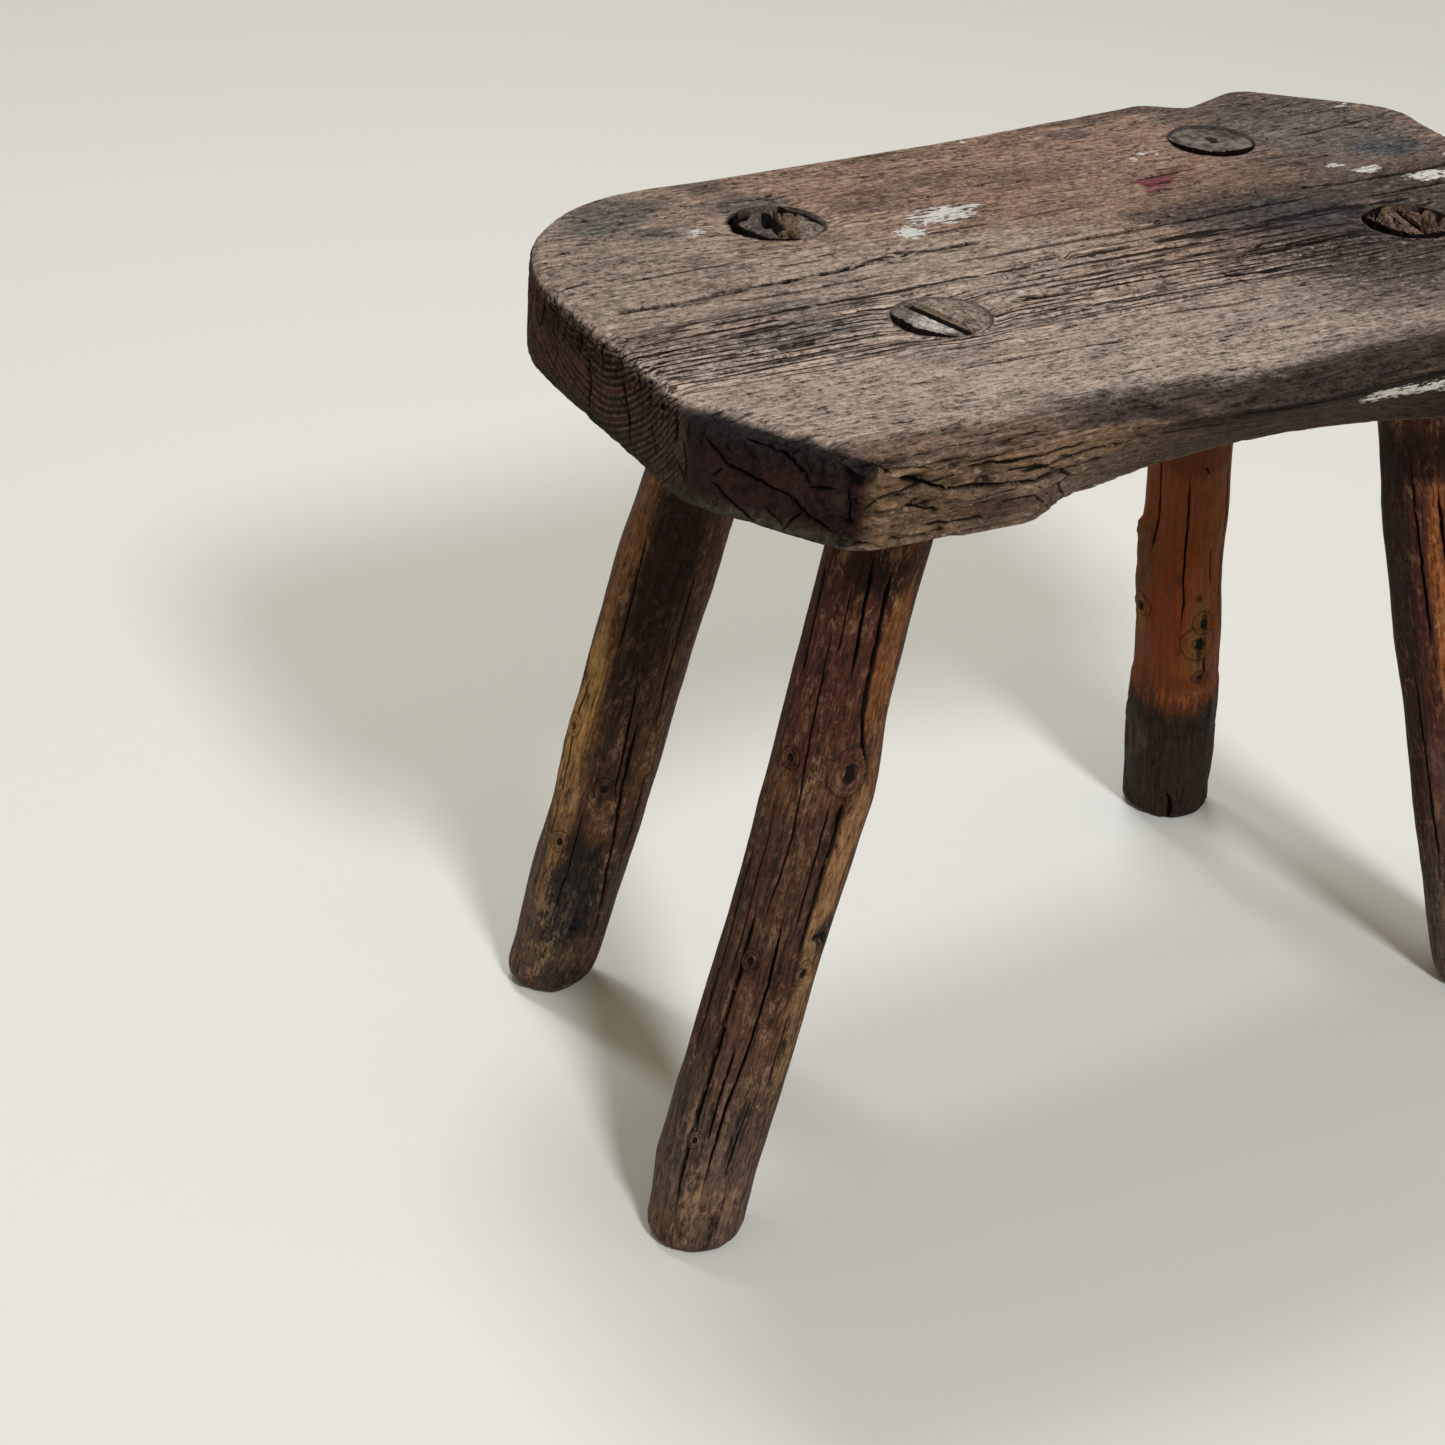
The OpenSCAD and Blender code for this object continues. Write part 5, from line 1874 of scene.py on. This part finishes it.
def leg_colours(name, kind, place, local, end, along, across, from_middle, dark):
    """Colours of a leg's points, and how dark, worn and clean they are."""
    spec, axis = LEGS[name], AXES[name]
    x, y, z = place.T
    angle, s = np.arctan2(local[:, 1], local[:, 0]), local[:, 2]
    tint = Tint(spec["base"], len(kind))
    for k, (centre, level, wide, tall, colour, strength) in enumerate(spec["zones"]):
        zone = blob_polar(angle, s, centre, level, np.radians(wide) * ROUND_R, tall, k)
        tint.coat(colour, strength * zone)
    worn = 0.35 + 0.4 * smooth(-0.1, 0.4, noise(angle * 3, s / 30, 0.5, 660, 2))
    if "char" in spec:
        edge, full = spec["char"]
        ragged = s + 4 * noise(local[:, 0] / 8, local[:, 1] / 8, s / 12, 670, 3)
        tint.coat((34, 28, 26), 0.97 * smooth(edge + 3, full - 6, ragged))
        tint.coat((84, 74, 64), 0.6 * blob_polar(angle, s, -185, 45, 8, 16))
        worn = worn * smooth(full, edge, ragged)
    tint.coat((112, 102, 96), spec["dusty"] * smooth(90, 20, s))
    worn = worn * smooth(0.004, 0.04, tint.rgb.mean(1))
    clean = spec.get("clean", 0.0) * smooth(66, 78, s)
    left_cheek, right_cheek = CAP_TINTS[name]
    tint.coat(left_cheek, end * (across < 0))
    tint.coat(right_cheek, end * (across >= 0))
    if name == "front_left":
        lens = end * (across < -3) * smooth(-15, -10, across)
        tint.coat((158, 149, 140), 0.85 * lens * smooth(13.5, 10, from_middle) * smooth(9, 2, along))
    mottle = noise(x / 1.7, y / 1.7, 0.5, 674, 3, 0.6)
    tint.scale(np.clip(1 + 1.1 * end * mottle, 0.3, 1.8))
    if name == "front_right":
        crumbs = noise(x / 1.8, y / 1.8, 0.5, 673, 3, 0.65)
        tint.coat((140, 110, 84), 0.7 * end * smooth(0.0, 0.35, crumbs))
        tint.coat((48, 36, 29), 0.7 * end * smooth(-0.05, -0.35, crumbs))
    if name == "back_right":
        mottled = noise(x / 4, y / 4, 0.5, 672, 3, 0.6)
        tint.coat((56, 49, 43), 0.85 * end * smooth(0.0, 0.4, mottled))
        tint.coat((136, 126, 114), 0.8 * end * smooth(0.0, -0.4, mottled))
        pith = np.hypot(along - 1.5, across - 1.0)
        tint.coat((22, 17, 15), 0.9 * end * smooth(3.2, 1.8, pith))
    if name == "back_left":
        right = (place[:, :2] - axis.top[:2]) @ SIDE[:2]
        specks = smooth(0, 0.4, noise(x / 2, y / 2, 0.5, 671, 2))
        tint.coat((94, 74, 54), 0.8 * end * smooth(8, 6.5, right) * smooth(-1, 0, right))
        tint.coat((112, 88, 62), 0.7 * end * smooth(-12, -13, right) * specks)
    # Painted shade in the gap round the tenon: the rim of its end is darkened where the gap is open
    open_rim = smooth(0.4, 0.9, tenon_gap(name, angle))
    tint.coat((30, 23, 20), 0.8 * end * smooth(14.2, 15.6, from_middle) * open_rim)
    shade = np.where(end | (s > 0.9 * axis.length), 1.0, 0.0)[:, None]
    tint.rgb = tint.rgb * (shade + (1 - shade) * np.array(spec["shade"]))
    side = kind == SIDE_PART
    at_rim = side * smooth(TENON_TOP - 1.2, TENON_TOP - 0.4, z)
    # Painted shade on the tenon's side in the bore: dark brown just under its rim
    tint.coat((58, 46, 38), 0.95 * side * smooth(296, 304, z) * (1 - at_rim))
    tint.coat(right_cheek, at_rim * (1 - open_rim))
    # Painted shade: the tenon's side is black further down in the bore, and where the gap beside it is open
    tenon = side * smooth(SEAT_LOW - 2, SEAT_LOW + 2, z)
    dark = np.maximum(dark, 0.9 * tenon * smooth(SEAT_TOP - 2.5, SEAT_TOP - 7, z))
    dark = np.maximum(dark, tenon * open_rim * smooth(TENON_TOP - 9, TENON_TOP - 4, z))
    return tint, dark, np.where(end, 0.1, worn), clean


# ---------------------------------------------------------------- wedges
# A wedge's colour, how far its end lies below the tenon's, how far it leans to one side near
# the top, its share of the kerf's width, its place in the kerf, how rough its end is, how much
# of its far half has crumbled away, and how dark its side towards the open kerf is painted, as shade
WEDGES = {
    "front_left": dict(
        tint=(104, 84, 66), low=0.6, lean=0.0, thin=0.42, offset=1.0, rough=0.5, gone=0, kerf=0.95),
    "back_left": dict(
        tint=(92, 72, 52), low=0.9, lean=1.2, thin=0.6, offset=1.0, rough=1.8, gone=7, kerf=0),
    "front_right": dict(
        tint=(96, 78, 64), low=1.4, lean=0.0, thin=0.6, offset=0.3, rough=1.6, gone=0, kerf=0),
}
WEDGE_HALF, WEDGE_DEPTH = 13.2, 22.0


def make_wedge(name):
    """One wedge: a box of small faces, bent into the kerf, with a crumbled upper end."""
    spec, axis = WEDGES[name], AXES[name]
    centre, way, side, half = kerf_frame(name)
    seed = 700 + LEG_NAMES.index(name)
    na, nb, nc = 46, 9, 26
    index = {}
    faces = []

    def vertex(i, j, k):
        return index.setdefault((i, j, k), len(index))

    def face(corners):
        v = [vertex(*c) for c in corners]
        faces.append((v[0], v[1], v[2]))
        faces.append((v[0], v[2], v[3]))

    for i in range(na):
        for j in range(nb):
            face([(i, j, 0), (i + 1, j, 0), (i + 1, j + 1, 0), (i, j + 1, 0)])
            face([(i, j, nc), (i, j + 1, nc), (i + 1, j + 1, nc), (i + 1, j, nc)])
        for k in range(nc):
            face([(i, 0, k), (i, 0, k + 1), (i + 1, 0, k + 1), (i + 1, 0, k)])
            face([(i, nb, k), (i + 1, nb, k), (i + 1, nb, k + 1), (i, nb, k + 1)])
    for j in range(nb):
        for k in range(nc):
            face([(0, j, k), (0, j + 1, k), (0, j + 1, k + 1), (0, j, k + 1)])
            face([(na, j, k), (na, j, k + 1), (na, j + 1, k + 1), (na, j + 1, k)])
    ijk = np.array(list(index))
    a = ijk[:, 0] / na * 2 - 1
    b = ijk[:, 1] / nb * 2 - 1
    c = (ijk[:, 2] / nc) ** 1.4
    reach = WEDGE_HALF * np.sqrt(np.maximum(1 - (0.12 * b) ** 2, 0))
    along = a * reach
    deep = c * WEDGE_DEPTH
    width = (half - 0.25) * spec["thin"] * (1 - 0.6 * c)
    across = b * width + spec["offset"] * (1 - c) + spec["lean"] * (1 - c) * smooth(8, 0, deep)
    across = np.clip(across, -(half - 0.15) * (1 - 0.6 * c), (half - 0.2) * (1 - 0.6 * c))
    rough = noise(along / 2.0, across / 1.2, 0.5, seed, 3, 0.6)
    chips = spec["low"] + spec["rough"] * (0.5 + 0.5 * rough) + spec["gone"] * smooth(-3, 4, along)
    z = TENON_TOP - chips * (1 - c) - deep
    flat = centre + way * along[:, None] + side * across[:, None]
    flat = flat - (axis.dir[:2] / axis.dir[2]) * deep[:, None]
    points = np.concatenate([flat, z[:, None]], 1)
    tint = Tint(spec["tint"], len(points))
    # Painted shade: the wedge darkens as it goes down into the kerf, and on its side towards the open kerf
    dark = np.maximum(0.9 * smooth(1.5, 6, deep), spec["kerf"] * smooth(-0.1, -0.55, b))
    none = np.zeros(len(points))
    make_piece(
        "wedge_" + name, SPLIT, points, np.array(faces), axis.local(points), tint,
        {"crack": dark, "relief": smooth(0.0, 0.6, rough) * 0.5, "worn": none, "clean": none},
        sharp=40,
    )


for leg_name in LEG_NAMES:
    make_leg(leg_name)
for leg_name in WEDGES:
    make_wedge(leg_name)


# ---------------------------------------------------------------- floor, light and camera
def floor():
    """A plain pale floor, larger than any view."""
    mesh = bpy.data.meshes.new("floor")
    half = 6.0
    corners = [(-half, -half, 0), (half, -half, 0), (half, half, 0), (-half, half, 0)]
    mesh.from_pydata(corners, [], [(0, 1, 2, 3)])
    n = Nodes("floor")
    n.shader.inputs["Base Color"].default_value = rgb(226, 223, 213)
    n.shader.inputs["Roughness"].default_value = 0.95
    n.shader.inputs["Specular IOR Level"].default_value = 0.1
    mesh.materials.append(n.material)
    piece = bpy.data.objects.new("floor", mesh)
    scene.collection.objects.link(piece)


def area_light(name, place, size, watts, colour):
    """A round lamp that shines at the stool's middle."""
    light = bpy.data.lights.new(name, "AREA")
    light.shape = "DISK"
    light.size = size
    light.energy = watts
    light.color = colour
    lamp = bpy.data.objects.new(name, light)
    lamp.location = place
    lamp.rotation_euler = (Vector(LIT_PLACE) - Vector(place)).to_track_quat("-Z", "Y").to_euler()
    scene.collection.objects.link(lamp)


# The camera: its direction from the stool and its roll in degrees, its place and its lens
AZIMUTH, ELEVATION, ROLL = -29.68, 30.10, 3.36
CAMERA_PLACE = (-0.5969, -0.8052, 0.6965)
SENSOR_MM, LENS_MM = 36, 78.54


def camera():
    """The photograph's camera, as it was solved from the stool's own shapes."""
    azimuth, elevation, roll = (math.radians(a) for a in (AZIMUTH, ELEVATION, ROLL))
    back = Vector((
        math.sin(azimuth) * math.cos(elevation),
        -math.cos(azimuth) * math.cos(elevation),
        math.sin(elevation),
    ))
    level_right = (-back).cross(Vector((0, 0, 1))).normalized()
    level_up = level_right.cross(-back)
    right = math.cos(roll) * level_right + math.sin(roll) * level_up
    up = -math.sin(roll) * level_right + math.cos(roll) * level_up
    pose = Matrix((right, up, back)).transposed().to_4x4()
    pose.translation = Vector(CAMERA_PLACE)
    data = bpy.data.cameras.new("camera")
    data.sensor_width = SENSOR_MM
    data.lens = LENS_MM
    viewer = bpy.data.objects.new("camera", data)
    viewer.matrix_world = pose
    scene.collection.objects.link(viewer)
    scene.camera = viewer


def ambient(colour, strength):
    """Even light from all around."""
    world = bpy.data.worlds.new("world")
    world.use_nodes = True
    inputs = world.node_tree.nodes["Background"].inputs
    inputs["Color"].default_value = colour
    inputs["Strength"].default_value = strength
    scene.world = world


# Place, diameter in metres, watts and colour of each lamp
LAMPS = {
    "key": ((-0.25, -2.91, 2.73), 0.62, 108, (0.86, 0.9, 1.0)),
    "overhead": ((0.06, 0.54, 2.41), 0.54, 18, (0.88, 0.9, 1.0)),
    "rear": ((-0.26, 1.15, 2.32), 0.28, 10, (0.88, 0.92, 1.0)),
}
LIT_PLACE = (0, 0, 0.15)

floor()
for lamp_name, lamp in LAMPS.items():
    area_light(lamp_name, *lamp)
ambient((1.0, 0.95, 0.72, 1), 0.31)
camera()
